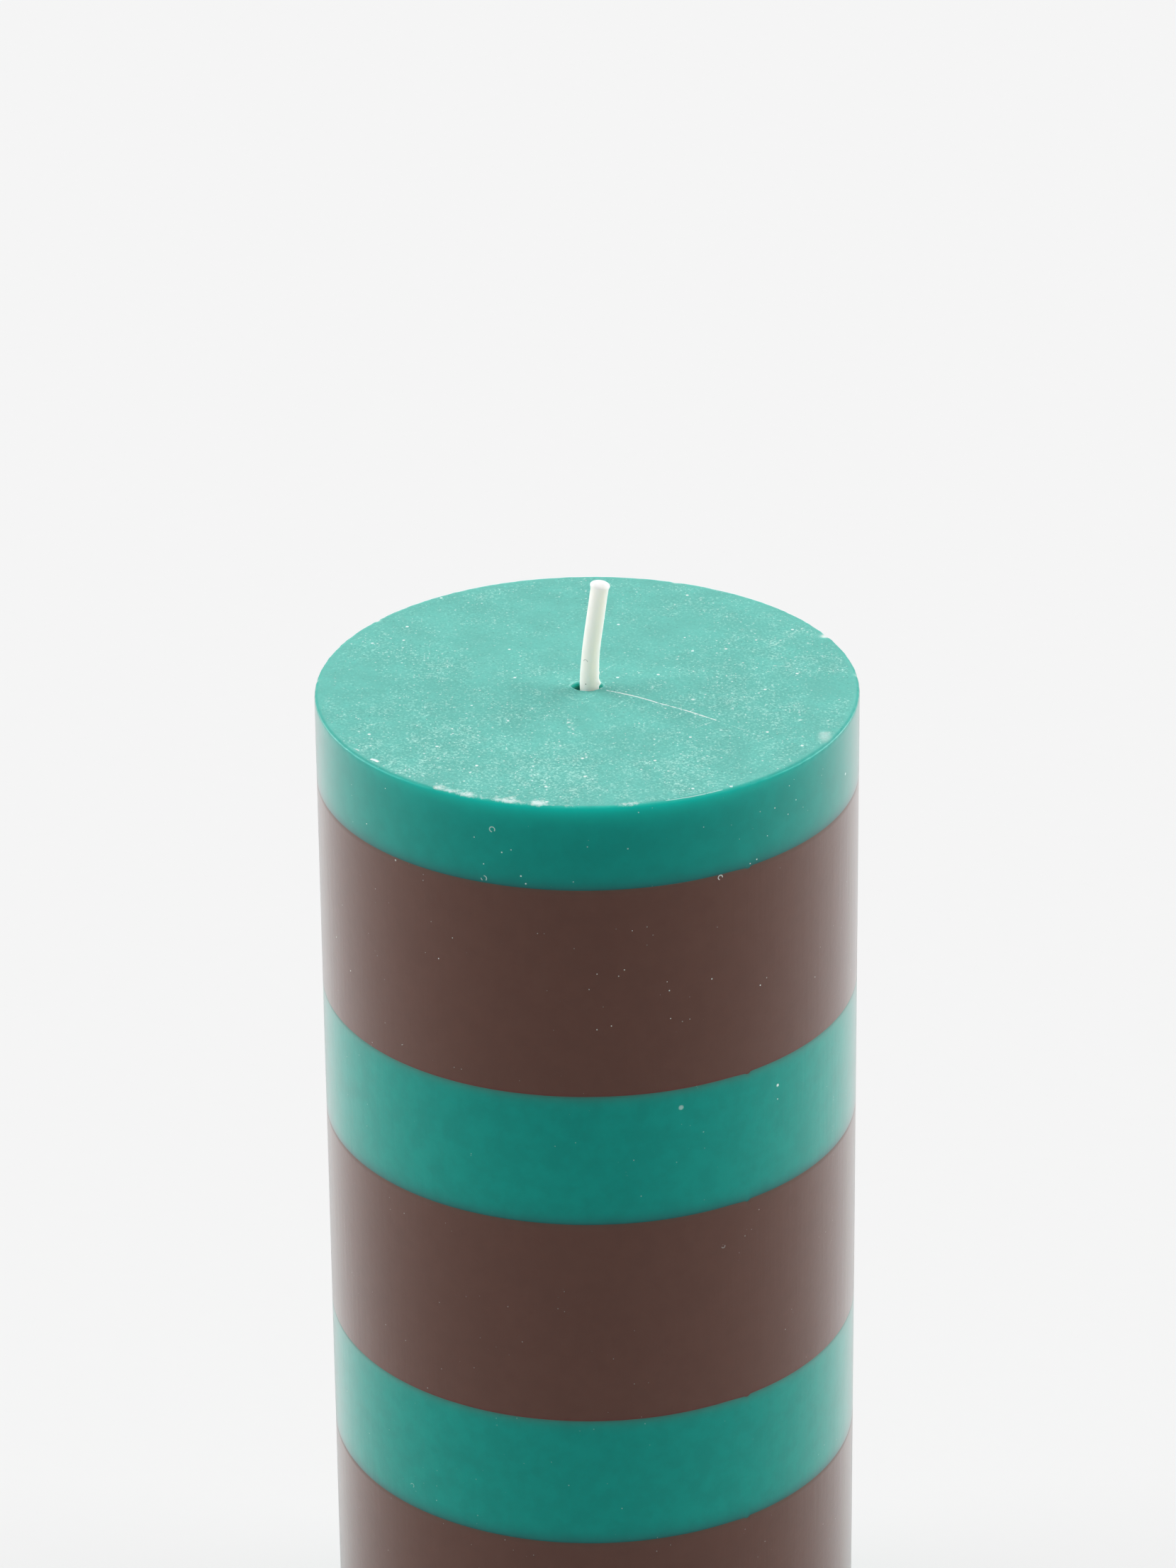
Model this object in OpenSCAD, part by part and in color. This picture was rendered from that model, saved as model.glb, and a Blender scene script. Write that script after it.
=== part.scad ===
// Striped pillar candle with a tabbed, wax-coated wick.
//
// It is made the way such a candle is poured: upside down in a round mould, cap first, one band
// of wax on another, round a steel pin. The pin is then drawn, which leaves a bore, and a braided
// wick that is already coated in wax and crimped into a metal tab goes up the bore from below.
//
// Millimetres. The origin is the middle of the base, +Z up the pillar, and -Y is the front.

/* [Pillar] */
// Diameter of the wax pillar
body_d = 70; // [50:1:100]
// Height of the teal cap, the band at the top, on the outside wall
cap_h = 11.6; // [6:0.1:30]
// Height of each brown band on the outside wall
brown_h = 29.2; // [10:0.1:50]
// Height of each teal band between two brown ones on the outside wall
teal_h = 18.6; // [8:0.1:40]
// Height of the teal foot on the outside wall
foot_h = 13.6; // [8:0.1:30]
// Radius of the rounded rim round the top face
rim_r = 0.5; // [0.2:0.1:2]
// Width of the 45 degree bevel round the base
foot_bevel = 0.8; // [0.3:0.1:2]

/* [Lips between the bands] */
// How far a band's lower face hangs down at the mould wall
lip_h = 1.6; // [0.5:0.1:2]
// How far in from the wall that lip begins
lip_w = 2.4; // [2:0.1:4]

/* [Bore] */
// Diameter of the hole that the pin leaves
bore_d = 4.14; // [3.8:0.02:6]
// How far the hole stands behind the pillar's axis
bore_back = 0.7; // [0:0.1:2]
// Radius of the softened edge at the hole's mouth
mouth_r = 0.2; // [0.1:0.05:0.5]
// Width all round the tab's disc in its recess in the foot
recess_gap = 0.5; // [0.2:0.1:2]
// Depth of the tab's recess
recess_depth = 0.7; // [0.5:0.1:2]

/* [Wick] */
// Outside diameter of the wax coat
coat_d = 2.44; // [2:0.02:3]
// Thickness of the wax coat round the braid
coat_t = 0.3; // [0.2:0.05:0.5]
// Length of wick that stands proud of the top face
wick_free = 14.9; // [11:0.1:30]
// Height above the top face at which the wick begins to bend
bend_start = 0.3; // [0.1:0.1:2]
// Radius of the bend
bend_r = 50; // [30:1:60]
// Angle of the bend
bend_a = 7.7; // [2:0.1:9]
// Direction that the wick bends to, in degrees round from +X
bend_to = 0; // [-180:1:180]
// Direction of the side of the bore that the wick leans on, in degrees round from +X
rest_to = -68; // [-180:1:180]
// Gap left between the coat and the wall of the bore where they meet
rest_gap = 0.03; // [0.02:0.01:0.1]
// Diameter of the swollen cut end
head_d = 2.54; // [2.5:0.02:3.4]
// Height of the swollen cut end
head_h = 0.9; // [0.8:0.05:1.5]
// Radius of the cut end's top edge
head_edge = 0.35; // [0.1:0.05:0.38]
// Thickness of wax over the braid at the cut end
head_seal = 0.35; // [0.2:0.05:0.6]

/* [Tab] */
// Diameter of the tab's disc
tab_d = 20; // [12:0.5:25]
// Thickness of the tab's sheet metal, in the disc and in the neck
tab_t = 0.3; // [0.2:0.05:0.45]
// Height of the neck that is crimped round the wick, above the disc
neck_h = 4; // [2:0.1:6]
// Gap between the neck and the coat
neck_gap = 0.03; // [0.02:0.01:0.05]

/* [Hidden] */
$fn = 96;

teal = [0.02, 0.46, 0.41];
brown = [0.31, 0.23, 0.20];

// The bands' heights from the top down, which is the order they are poured in
band_h = [cap_h, brown_h, teal_h, brown_h, teal_h, brown_h, foot_h];
last_band = len(band_h) - 1;
function poured_h(i) = band_h[i] + (i == 0 ? 0 : poured_h(i - 1));
body_h = poured_h(last_band);
body_r = body_d / 2;

// The lip's arc is level where it begins, lip_w in from the wall, and falls lip_h at the wall
lip_r = (lip_w * lip_w + lip_h * lip_h) / (2 * lip_h);

over = 1; // how far cutters run past the faces that they cut

bore_r = bore_d / 2;
tab_z = recess_depth - tab_t;
neck_id = coat_d + 2 * neck_gap;
neck_od = neck_id + 2 * tab_t;
neck_middle = recess_depth + neck_h / 2;
recess_d = tab_d + 2 * recess_gap;

// The wick pivots in the middle of the neck and leans on the wall of the bore at its mouth
rest_tilt = atan((bore_r - coat_d / 2 - rest_gap) / (body_h - neck_middle));
run_down = neck_middle - tab_z;
run_up = body_h + bend_start - neck_middle;
bend_len = bend_r * bend_a * PI / 180;
wick_end = run_up - bend_start + wick_free;
braid_r = coat_d / 2 - coat_t;
wick_sides = 24; // sides of the wick's rods
bend_steps = 6; // straight steps that follow the bend
head_step = 30; // degrees between rings on the cut end's edge

module at_bore() translate([0, bore_back, 0]) children();

// What is cut from a square corner at [r, z] to round it: out is 1 to round towards +X, -1
// towards the axis
module corner_cut(r, z, radius, out) {
    translate([r - out * radius, z - radius]) difference() {
        translate([out > 0 ? 0 : -radius - over, 0]) square(radius + over);
        circle(radius);
    }
}

// Half section of all the wax below the free surface of a pour whose edge is at height z
module below_surface(z) {
    flat_z = z + lip_h;
    difference() {
        square([body_r + over, flat_z]);
        difference() {
            translate([body_r - lip_w, z]) square([lip_w + 2 * over, lip_h + over]);
            translate([body_r - lip_w, flat_z - lip_r]) circle(lip_r);
        }
    }
}

// Half section of the whole pillar, with its rounded rim and bevelled base
module pillar_section() {
    difference() {
        square([body_r, body_h]);
        corner_cut(body_r, body_h, rim_r, 1);
        translate([body_r, 0]) rotate(45) square(foot_bevel * sqrt(2), center = true);
    }
}

// Half section of band i, counted from the top: what lies under the band above it, less what
// lies under its own lower face
module band_section(i) {
    intersection() {
        pillar_section();
        difference() {
            if (i == 0) square([body_r + over, body_h + over]);
            else below_surface(body_h - poured_h(i - 1));
            if (i < last_band) below_surface(body_h - poured_h(i));
        }
    }
}

module wax_band(i) {
    difference() {
        rotate_extrude() band_section(i);
        at_bore() {
            translate([0, 0, -over]) cylinder(d = bore_d, h = body_h + 2 * over);
            if (i == 0) rotate_extrude() corner_cut(bore_r, body_h, mouth_r, -1);
            if (i == last_band) translate([0, 0, -over]) cylinder(d = recess_d, h = recess_depth + over);
        }
    }
}

// Places its children on the wick's line, where it passes the middle of the tab's neck
module at_neck() {
    at_bore() translate([0, 0, neck_middle])
        rotate([0, 0, rest_to]) rotate([0, rest_tilt, 0]) rotate([0, 0, bend_to - rest_to]) children();
}

// A point on the wick's line, s along it from the middle of the neck: how far it has moved
// sideways, its height, and the angle that the line has turned from straight up
function wick_point(s) =
    s <= run_up ? [0, s, 0] :
    s <= run_up + bend_len
        ? let (a = (s - run_up) / bend_len * bend_a)
          [bend_r * (1 - cos(a)), run_up + bend_r * sin(a), a]
        : let (t = s - run_up - bend_len)
          [bend_r * (1 - cos(bend_a)) + t * sin(bend_a),
           run_up + bend_r * sin(bend_a) + t * cos(bend_a), bend_a];

// One ring of points round the wick's line, at s along it and r out from it
function wick_ring(s, r) = let (p = wick_point(s)) [
    for (k = [0 : wick_sides - 1]) let (q = 360 * k / wick_sides)
        [p[0] + r * cos(q) * cos(p[2]), r * sin(q), p[1] - r * cos(q) * sin(p[2])]
];

// The stations of a plain rod of radius r that ends at top: one ring at its foot, one at each
// step of the bend and one at its end
function rod_stations(r, down, top) = [
    [-down, r],
    for (k = [0 : bend_steps]) [run_up + bend_len * k / bend_steps, r],
    [top, r]
];

// The coat's stations: a rod that flares into the swollen cut end, whose top edge is rounded
function coat_stations() = [
    each rod_stations(coat_d / 2, run_down, wick_end - head_h),
    for (q = [0 : head_step : 90])
        [wick_end - head_edge * (1 - sin(q)), head_d / 2 - head_edge * (1 - cos(q))]
];

// A closed rod through a list of stations, each of which is [place along the line, radius]
module wick_rod(stations) {
    rings = len(stations);
    n = wick_sides;
    polyhedron(
        points = [for (st = stations) each wick_ring(st[0], st[1])],
        faces = [
            [for (k = [0 : n - 1]) k],
            [for (k = [n - 1 : -1 : 0]) (rings - 1) * n + k],
            for (i = [0 : rings - 2], k = [0 : n - 1]) let (m = (k + 1) % n)
                [i * n + k, (i + 1) * n + k, (i + 1) * n + m, i * n + m]
        ]
    );
}

module cap_teal() color(teal) wax_band(0);
module band_brown_upper() color(brown) wax_band(1);
module band_teal_upper() color(teal) wax_band(2);
module band_brown_middle() color(brown) wax_band(3);
module band_teal_lower() color(teal) wax_band(4);
module band_brown_lower() color(brown) wax_band(5);
module foot_teal() color(teal) wax_band(6);

module wick_wax_coat() {
    color([0.87, 0.89, 0.84]) at_neck() difference() {
        wick_rod(coat_stations());
        wick_rod(rod_stations(braid_r, run_down + over, wick_end - head_seal));
    }
}

module wick_braid() {
    color("white") at_neck() wick_rod(rod_stations(braid_r, run_down, wick_end - head_seal));
}

module wick_tab() {
    color("silver") at_bore() translate([0, 0, tab_z]) difference() {
        union() {
            cylinder(d = tab_d, h = tab_t);
            cylinder(d = neck_od, h = tab_t + neck_h);
        }
        translate([0, 0, -over]) cylinder(d = neck_id, h = tab_t + neck_h + 2 * over);
    }
}

cap_teal();
band_brown_upper();
band_teal_upper();
band_brown_middle();
band_teal_lower();
band_brown_lower();
foot_teal();
wick_wax_coat();
wick_braid();
wick_tab();
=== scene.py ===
# %% [markdown]
# # A striped pillar candle
# This lesson builds the looks of a poured candle: seven bands of teal and brown wax, a wick in
# its wax coat, the braid inside it and the metal tab at its foot. The construction comes from a
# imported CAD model, the frame, and every piece made here lies exactly where its CAD node lies.

# %% Load the frame
import math

import bpy
import numpy as np
from mathutils import Matrix, Vector


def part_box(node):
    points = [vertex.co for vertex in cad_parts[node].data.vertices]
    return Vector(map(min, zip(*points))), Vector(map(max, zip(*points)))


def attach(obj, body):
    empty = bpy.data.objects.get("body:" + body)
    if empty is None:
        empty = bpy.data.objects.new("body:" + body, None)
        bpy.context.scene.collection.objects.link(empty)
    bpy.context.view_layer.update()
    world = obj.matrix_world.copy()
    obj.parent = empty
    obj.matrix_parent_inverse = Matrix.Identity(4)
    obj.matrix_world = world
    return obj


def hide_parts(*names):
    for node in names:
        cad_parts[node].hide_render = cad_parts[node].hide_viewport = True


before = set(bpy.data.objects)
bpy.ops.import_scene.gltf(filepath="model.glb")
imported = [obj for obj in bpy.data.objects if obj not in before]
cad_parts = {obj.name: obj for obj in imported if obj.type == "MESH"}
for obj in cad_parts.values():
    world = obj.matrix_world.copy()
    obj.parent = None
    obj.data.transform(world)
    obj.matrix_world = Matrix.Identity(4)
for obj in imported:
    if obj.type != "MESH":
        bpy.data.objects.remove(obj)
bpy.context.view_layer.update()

MM = 0.001

# %% [markdown]
# ## The camera
# A product picture of a candle is taken from a little above with a long lens, so that the top
# face shows as a wide ellipse and the sides stay almost parallel. The camera is placed from the
# middle of the top face: how far away it is, how high, and how far it is tipped down.

# %% Camera
top_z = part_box("cap_teal")[1].z

CAMERA_AWAY = 849.9 * MM
CAMERA_ABOVE = math.radians(25.09)
CAMERA_DIP = math.radians(25.93)
CAMERA_ROLL = math.radians(-0.58)
CAMERA_LENS = 152.0


def make_camera():
    """A camera in front of the candle that looks along +Y, tipped down by CAMERA_DIP and then
    rolled a little about its own line of sight."""
    data = bpy.data.cameras.new("camera")
    data.lens = CAMERA_LENS
    data.clip_start, data.clip_end = 0.01, 20.0
    camera = bpy.data.objects.new("camera", data)
    away = CAMERA_AWAY * math.cos(CAMERA_ABOVE)
    above = CAMERA_AWAY * math.sin(CAMERA_ABOVE)
    camera.matrix_world = (
        Matrix.Translation((0.0, -away, top_z + above))
        @ Matrix.Rotation(math.pi / 2 - CAMERA_DIP, 4, "X")
        @ Matrix.Rotation(CAMERA_ROLL, 4, "Z")
    )
    bpy.context.scene.collection.objects.link(camera)
    bpy.context.scene.camera = camera
    return camera


camera = make_camera()
print("camera at", [round(v, 3) for v in camera.location])

# %% [markdown]
# ## Shader helpers
# Every finish in this scene is a small tree of shader nodes. Building trees by hand in the node
# editor is the usual way to learn them; in a script, a few helpers keep each tree short enough
# to read. Colours are written as the 0 to 255 numbers that a colour picker shows.

# %% Shader helpers
def paint(red, green, blue):
    """A colour picker's numbers as the linear colour that shaders use: each channel c becomes
    ((c + 0.055) / 1.055) to the power 2.4, or c / 12.92 where it is very dark."""
    c = np.array([red, green, blue]) / 255.0
    linear = np.where(c <= 0.04045, c / 12.92, ((c + 0.055) / 1.055) ** 2.4)
    return (*(float(v) for v in linear), 1.0)


def add(tree, kind, feeds, **settings):
    """Adds a shader node. feeds maps an input's name or number to a value or another node's
    output, and settings are the node's own properties."""
    node = tree.nodes.new("ShaderNode" + kind)
    for name, value in settings.items():
        setattr(node, name, value)
    for name, value in feeds.items():
        if isinstance(value, bpy.types.NodeSocket):
            tree.links.new(value, node.inputs[name])
        else:
            node.inputs[name].default_value = value
    return node


def calc(tree, operation, a, b=0.0, clamp=False):
    """What one Math node makes of two numbers."""
    return add(tree, "Math", {0: a, 1: b}, operation=operation, use_clamp=clamp).outputs[0]


def times(tree, a, b, clamp=False):
    """Two numbers multiplied."""
    return calc(tree, "MULTIPLY", a, b, clamp)


def plus(tree, a, b, clamp=False):
    """Two numbers added."""
    return calc(tree, "ADD", a, b, clamp)


def most(tree, a, b):
    """The larger of two numbers."""
    return calc(tree, "MAXIMUM", a, b)


def apart(tree, a, b):
    """How far apart two numbers are."""
    return calc(tree, "ABSOLUTE", calc(tree, "SUBTRACT", a, b))


def vector(tree, operation, a, b=(0, 0, 0)):
    """What one Vector Math node makes of two vectors: a vector, or a number measured on them."""
    node = add(tree, "VectorMath", {0: a, 1: b}, operation=operation)
    measured = operation in ("DISTANCE", "DOT_PRODUCT", "LENGTH")
    return node.outputs["Value" if measured else "Vector"]


def mix(tree, share, first, second):
    """first where share is 0, second where it is 1."""
    return add(tree, "Mix", {0: share, 6: first, 7: second}, data_type="RGBA").outputs[2]


def tinted(tree, share, first, second):
    """first where share is 0, and first multiplied by second where it is 1."""
    feeds = {0: share, 6: first, 7: second}
    return add(tree, "Mix", feeds, data_type="RGBA", blend_type="MULTIPLY").outputs[2]


def between(tree, value, low, high):
    """0 at low, 1 at high, clamped, with a soft start and stop."""
    feeds = {"Value": value, "From Min": low, "From Max": high}
    return add(tree, "MapRange", feeds, interpolation_type="SMOOTHSTEP").outputs[0]


def shade(colour, amount):
    """A colour made darker or lighter."""
    return (*(amount * c for c in colour[:3]), 1.0)


def grey(level):
    """A grey of that much light."""
    return (level, level, level, 1.0)


def attribute(tree, name):
    """A number that the mesh carries at each of its points."""
    return add(tree, "Attribute", {}, attribute_name=name).outputs["Fac"]


def object_place(tree, squash=(1.0, 1.0, 1.0)):
    """Where a point lies on the piece, in metres. squash stretches a pattern along an axis."""
    place = add(tree, "TexCoord", {}).outputs["Object"]
    if squash == (1.0, 1.0, 1.0):
        return place
    return add(tree, "Mapping", {"Vector": place, "Scale": squash}).outputs[0]


def grain(tree, place, size, detail=3.0, roughness=0.55):
    """Cloudy noise with features about size metres across, from 0 to 1."""
    feeds = {"Vector": place, "Scale": 1.0 / size, "Detail": detail, "Roughness": roughness}
    return add(tree, "TexNoise", feeds).outputs[0]


def specks(tree, place, pitch, radius, share, space="3D"):
    """Round specks, 1 inside and 0 outside. Space is cut into cells about pitch across, and a
    share of them hold a speck of up to radius, each with a random size of its own. On a level
    face the space is "2D", so that no speck is cut off above or below the face."""
    feeds = {"Vector": place, "Scale": 1.0 / pitch}
    cells = add(tree, "TexVoronoi", feeds, voronoi_dimensions=space)
    luck = add(tree, "SeparateColor", {"Color": cells.outputs["Color"]}).outputs[0]
    size = between(tree, luck, 1.0 - share, 1.0 - 0.4 * share)
    reach = times(tree, size, radius / pitch)
    inside = calc(tree, "SUBTRACT", reach, cells.outputs["Distance"])
    return times(tree, inside, 3.0 * pitch / radius, clamp=True)


def new_finish(name, **values):
    """A material with one Principled shader, whose plain values are set on its own sockets."""
    material = bpy.data.materials.new(name)
    material.use_nodes = True
    tree = material.node_tree
    shader = tree.nodes["Principled BSDF"]
    for socket, value in values.items():
        shader.inputs[socket.replace("_", " ")].default_value = value
    return material, tree, shader


def set_bump(tree, shader, height, strength, distance, layers=("Normal", "Coat Normal")):
    """Bumps on the shader's layers, where a height of 1 stands out by distance."""
    bump = add(tree, "Bump", {"Height": height, "Strength": strength, "Distance": distance})
    for layer in layers:
        tree.links.new(bump.outputs["Normal"], shader.inputs[layer])


# %% [markdown]
# ## The studio
# Candles are sold on white: a pale table, a big soft light on each side and a little behind, so
# that the candle's flanks are brighter than its front, and pale walls that fill in the shadows.
# Here the table is a plain plane, each light is a sun with a very wide disc, and the world is
# the walls. The camera and mirror-like surfaces see the walls at the same white as the table,
# while their light on the candle is held lower.

# %% Studio
BACKDROP = paint(245, 245, 245)
WALL_LIGHT = 0.25
SIDE_LIGHT = 0.4
SIDE_ROUND = math.radians(110.0)
SIDE_ABOVE = math.radians(22.0)
SIDE_WIDTH = math.radians(60.0)
TABLE_SIDE = 6.0
TABLE_EVEN = 0.62


def make_world():
    """Pale walls: seen as the backdrop's white, but lighting the candle with WALL_LIGHT."""
    world = bpy.data.worlds.new("walls")
    world.use_nodes = True
    bpy.context.scene.world = world
    tree = world.node_tree
    path = add(tree, "LightPath", {})
    seen = most(tree, path.outputs["Is Camera Ray"], path.outputs["Is Glossy Ray"])
    seen = most(tree, seen, path.outputs["Is Transmission Ray"])
    shown = mix(tree, seen, grey(WALL_LIGHT), BACKDROP)
    tree.links.new(shown, tree.nodes["Background"].inputs["Color"])


def make_table():
    """The plane that the candle stands on. The camera sees it partly as the backdrop's even
    white, so that it has no edge, and partly as lit paper, so that it keeps the shadow."""
    side = TABLE_SIDE / 2
    mesh = bpy.data.meshes.new("table")
    corners = [(-side, -side, 0), (side, -side, 0), (side, side, 0), (-side, side, 0)]
    mesh.from_pydata(corners, [], [(0, 1, 2, 3)])
    table = bpy.data.objects.new("table", mesh)
    bpy.context.scene.collection.objects.link(table)
    material, tree, shader = new_finish("table_paper", Roughness=0.9, Specular_IOR_Level=0.0)
    fibres = grain(tree, object_place(tree), 3 * MM)
    pale = mix(tree, fibres, paint(238, 238, 238), paint(240, 240, 240))
    tree.links.new(pale, shader.inputs["Base Color"])
    plain = add(tree, "Emission", {"Color": BACKDROP})
    seen = times(tree, add(tree, "LightPath", {}).outputs["Is Camera Ray"], TABLE_EVEN)
    mixed = add(tree, "MixShader", {0: seen, 1: shader.outputs[0], 2: plain.outputs[0]})
    tree.links.new(mixed.outputs[0], tree.nodes["Material Output"].inputs["Surface"])
    mesh.materials.append(material)
    return table


def make_side_light(name, side):
    """A wide soft light, SIDE_ROUND round from the front on one side (1 right, -1 left). It
    gives a level white surface SIDE_LIGHT of its full white."""
    data = bpy.data.lights.new(name, "SUN")
    data.energy = SIDE_LIGHT * math.pi / math.sin(SIDE_ABOVE)
    data.angle = SIDE_WIDTH
    light = bpy.data.objects.new(name, data)
    level = math.cos(SIDE_ABOVE)
    comes_from = Vector((
        side * level * math.sin(SIDE_ROUND), -level * math.cos(SIDE_ROUND), math.sin(SIDE_ABOVE)
    ))
    light.rotation_euler = comes_from.to_track_quat("Z", "Y").to_euler()
    bpy.context.scene.collection.objects.link(light)
    return light


make_world()
make_table()
make_side_light("right_light", 1)
make_side_light("left_light", -1)
bpy.context.scene.view_settings.view_transform = "Standard"
print("light on a level surface, where 1 shows a colour as written:", WALL_LIGHT + 2 * SIDE_LIGHT)

# %% [markdown]
# ## Surfaces from grids
# Turned things such as this candle could be made with Blender's Screw modifier, but then every
# ring is the same. A numpy grid is as short and can vary: rows run along the outline, columns
# run round the axis, and each point may be pushed about on its own. The grid is closed both
# ways, like a doughnut, because every band of wax has the wick's bore through it.

# %% Surfaces from grids
SHARP_FROM = math.radians(35)


def grid_faces(rows, columns, closed_rows):
    """The four corners of every square between neighbouring rows and columns. Columns always
    close on themselves, and rows do if closed_rows."""
    spans = rows if closed_rows else rows - 1
    r, c = np.meshgrid(np.arange(spans), np.arange(columns), indexing="ij")
    next_r, next_c = (r + 1) % rows, (c + 1) % columns
    corners = [r * columns + c, r * columns + next_c, next_r * columns + next_c, next_r * columns + c]
    return np.stack(corners, axis=-1).reshape(-1, 4)


def enclosed(points, faces):
    """The volume inside closed four-sided faces: each half face makes a thin pyramid with the
    origin, whose signed volume is a sixth of its corners' triple product."""
    a, b, c, d = (points[faces[:, k]] for k in range(4))
    halves = np.einsum("ij,ij->i", a, np.cross(b, c)) + np.einsum("ij,ij->i", a, np.cross(c, d))
    return halves.sum() / 6


def make_piece(name, points, faces, nodes, materials, face_material=None, caps=(), carried=None):
    """Makes a mesh of four-sided faces, plus caps of many sides, turned so that they point
    outward. It is shaded smooth up to an angle of SHARP_FROM between faces. It rides on the
    root body and stands for the CAD nodes named."""
    points = np.asarray(points, float).reshape(-1, 3)
    middle = points.mean(axis=0)
    volume = enclosed(points - middle, faces)
    if volume < 0:
        faces = faces[:, ::-1]
        caps = [cap[::-1] for cap in caps]
    mesh = bpy.data.meshes.new(name)
    mesh.from_pydata(points.tolist(), [], faces.tolist() + [list(cap) for cap in caps])
    for material in materials:
        mesh.materials.append(material)
    if face_material is not None:
        mesh.polygons.foreach_set("material_index", face_material.astype(np.int32))
    mesh.polygons.foreach_set("use_smooth", np.ones(len(mesh.polygons), bool))
    mesh.set_sharp_from_angle(angle=SHARP_FROM)
    for label, values in (carried or {}).items():
        store = mesh.attributes.new(label, "FLOAT", "POINT")
        store.data.foreach_set("value", np.asarray(values, np.float32).ravel())
    piece = bpy.data.objects.new(name, mesh)
    bpy.context.scene.collection.objects.link(piece)
    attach(piece, "root")
    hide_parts(*nodes)
    print(f"{name}: {len(mesh.polygons)} faces, {abs(volume) * 1e6:.2f} cm3")
    return piece


# %% [markdown]
# ## Unevenness
# Poured wax is never quite even. The same smooth noise that a texture uses can push points
# about: random heights on a cubic lattice, blended in between. It is worked out here in numpy,
# because then the unevenness is real shape and the same on every run.

# %% Unevenness
LATTICE = 24


def hills(points, size, seed):
    """Smooth random hills from -1 to 1, about size metres across. Each point's cell in a cubic
    lattice gives eight random corner heights, which are blended by 3 t t - 2 t t t."""
    heights = np.random.default_rng(seed).uniform(-1, 1, (LATTICE,) * 3)
    cell = points / size
    low = np.floor(cell).astype(int)
    t = cell - low
    t = 3 * t**2 - 2 * t**3
    total = np.zeros(points.shape[:-1])
    for corner in np.ndindex(2, 2, 2):
        step = np.array(corner)
        share = np.where(step == 1, t, 1 - t).prod(axis=-1)
        x, y, z = np.moveaxis((low + step) % LATTICE, -1, 0)
        total += share * heights[x, y, z]
    return total


# %% [markdown]
# ## What the bands share
# The candle is poured upside down in a polished mould, one band at a time. Three things show
# where bands meet. A pour creeps up the mould's wall before it sets, so on the standing candle
# its edge hangs down in a thin lip. The joint is a little wavy. And the mould has a seam, where
# a drop of the next pour always leaks past. One function gives the height of a joint all the
# way round, so that the two bands that meet there fit.

# %% What the bands share
BANDS = [
    "cap_teal", "band_brown_upper", "band_teal_upper", "band_brown_middle", "band_teal_lower",
    "band_brown_lower", "foot_teal",
]
low_z = {band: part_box(band)[0].z for band in BANDS}
high_z = {band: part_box(band)[1].z for band in BANDS}
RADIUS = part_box("cap_teal")[1].x
LIP_HEIGHT = high_z["band_brown_upper"] - low_z["cap_teal"]
LIP_WIDTH = 2.4 * MM
BORE_RADIUS = 2.07 * MM
BORE_BACK = 0.7 * MM
COLUMNS = 720
turn = np.arange(COLUMNS) * 2 * math.pi / COLUMNS
SEAM = math.radians(34.7)
print("joints at", [round(z / MM, 1) for z in low_z.values()], "mm")


def wavy_joint(z, seed):
    """The height of a joint round the wall: z, a few slow waves, and at the mould's seam a step
    that deepens over five degrees and ends in a small drop."""
    rng = np.random.default_rng(seed)
    waves = sum(
        rng.uniform(0.2, 1.0) / count * np.sin(count * turn + rng.uniform(0, 2 * math.pi))
        for count in (2, 3, 5, 8, 13, 21, 34)
    )
    before = np.degrees(SEAM - turn)
    step = np.where((before > 0) & (before < 5), 1 - before / 5, 0.0) ** 1.5
    drop = np.exp(-((before + 0.2) / 0.45) ** 2)
    return z + MM * (0.045 * waves - 0.16 * step - 0.28 * drop)


def round_the_axis(radius, height, back=0.0):
    """A surface from radius and height, each one number a row or a whole grid: the point at
    turn a from the front is (r sin a, back - r cos a, h)."""
    radius = np.broadcast_to(np.atleast_2d(radius.T).T, (len(radius), COLUMNS))
    height = np.broadcast_to(np.atleast_2d(height.T).T, (len(height), COLUMNS))
    back = np.broadcast_to(np.asarray(back).reshape(-1, 1), (len(radius), 1))
    return np.stack([radius * np.sin(turn), back - radius * np.cos(turn), height], axis=-1)


def joint_rows(z_wall, arc_rows, flat_rows):
    """The face where two bands meet, from the wall in to the bore. It rises from the wall along
    an arc that ends level, LIP_WIDTH in and LIP_HEIGHT up, and then runs flat. Near the bore the
    rings slide back, because the bore stands a little behind the axis."""
    arc_radius = (LIP_WIDTH**2 + LIP_HEIGHT**2) / (2 * LIP_HEIGHT)
    start = math.asin(LIP_WIDTH / arc_radius)
    a = start * (1 - np.linspace(0, 1, arc_rows))
    arc_r = RADIUS - LIP_WIDTH + arc_radius * np.sin(a)
    arc_up = LIP_HEIGHT - arc_radius * (1 - np.cos(a))
    flat_r = np.linspace(RADIUS - LIP_WIDTH, BORE_RADIUS, flat_rows + 1)[1:]
    r = np.concatenate([arc_r, flat_r])
    up = np.concatenate([arc_up, np.full(flat_rows, LIP_HEIGHT)])
    back = BORE_BACK * np.clip((RADIUS - LIP_WIDTH - r) / (RADIUS - LIP_WIDTH - BORE_RADIUS), 0, 1)
    nearness = ((r - BORE_RADIUS) / (RADIUS - BORE_RADIUS)) ** 2
    level = z_wall.mean() + up[:, None] + nearness[:, None] * (z_wall - z_wall.mean())[None, :]
    return round_the_axis(r, level, back)


def wall_relief(points, seed):
    """How far the wall stands out at each point: long shallow swells, and finer ones that run
    up and down as the mould's polish did."""
    stretched = points * np.array([1.0, 1.0, 0.12])
    return MM * (0.012 * hills(points, 14 * MM, seed) + 0.004 * hills(stretched, 2.5 * MM, seed + 1))


joints = {band: wavy_joint(low_z[band], 40 + k) for k, band in enumerate(BANDS[:-1])}

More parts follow.
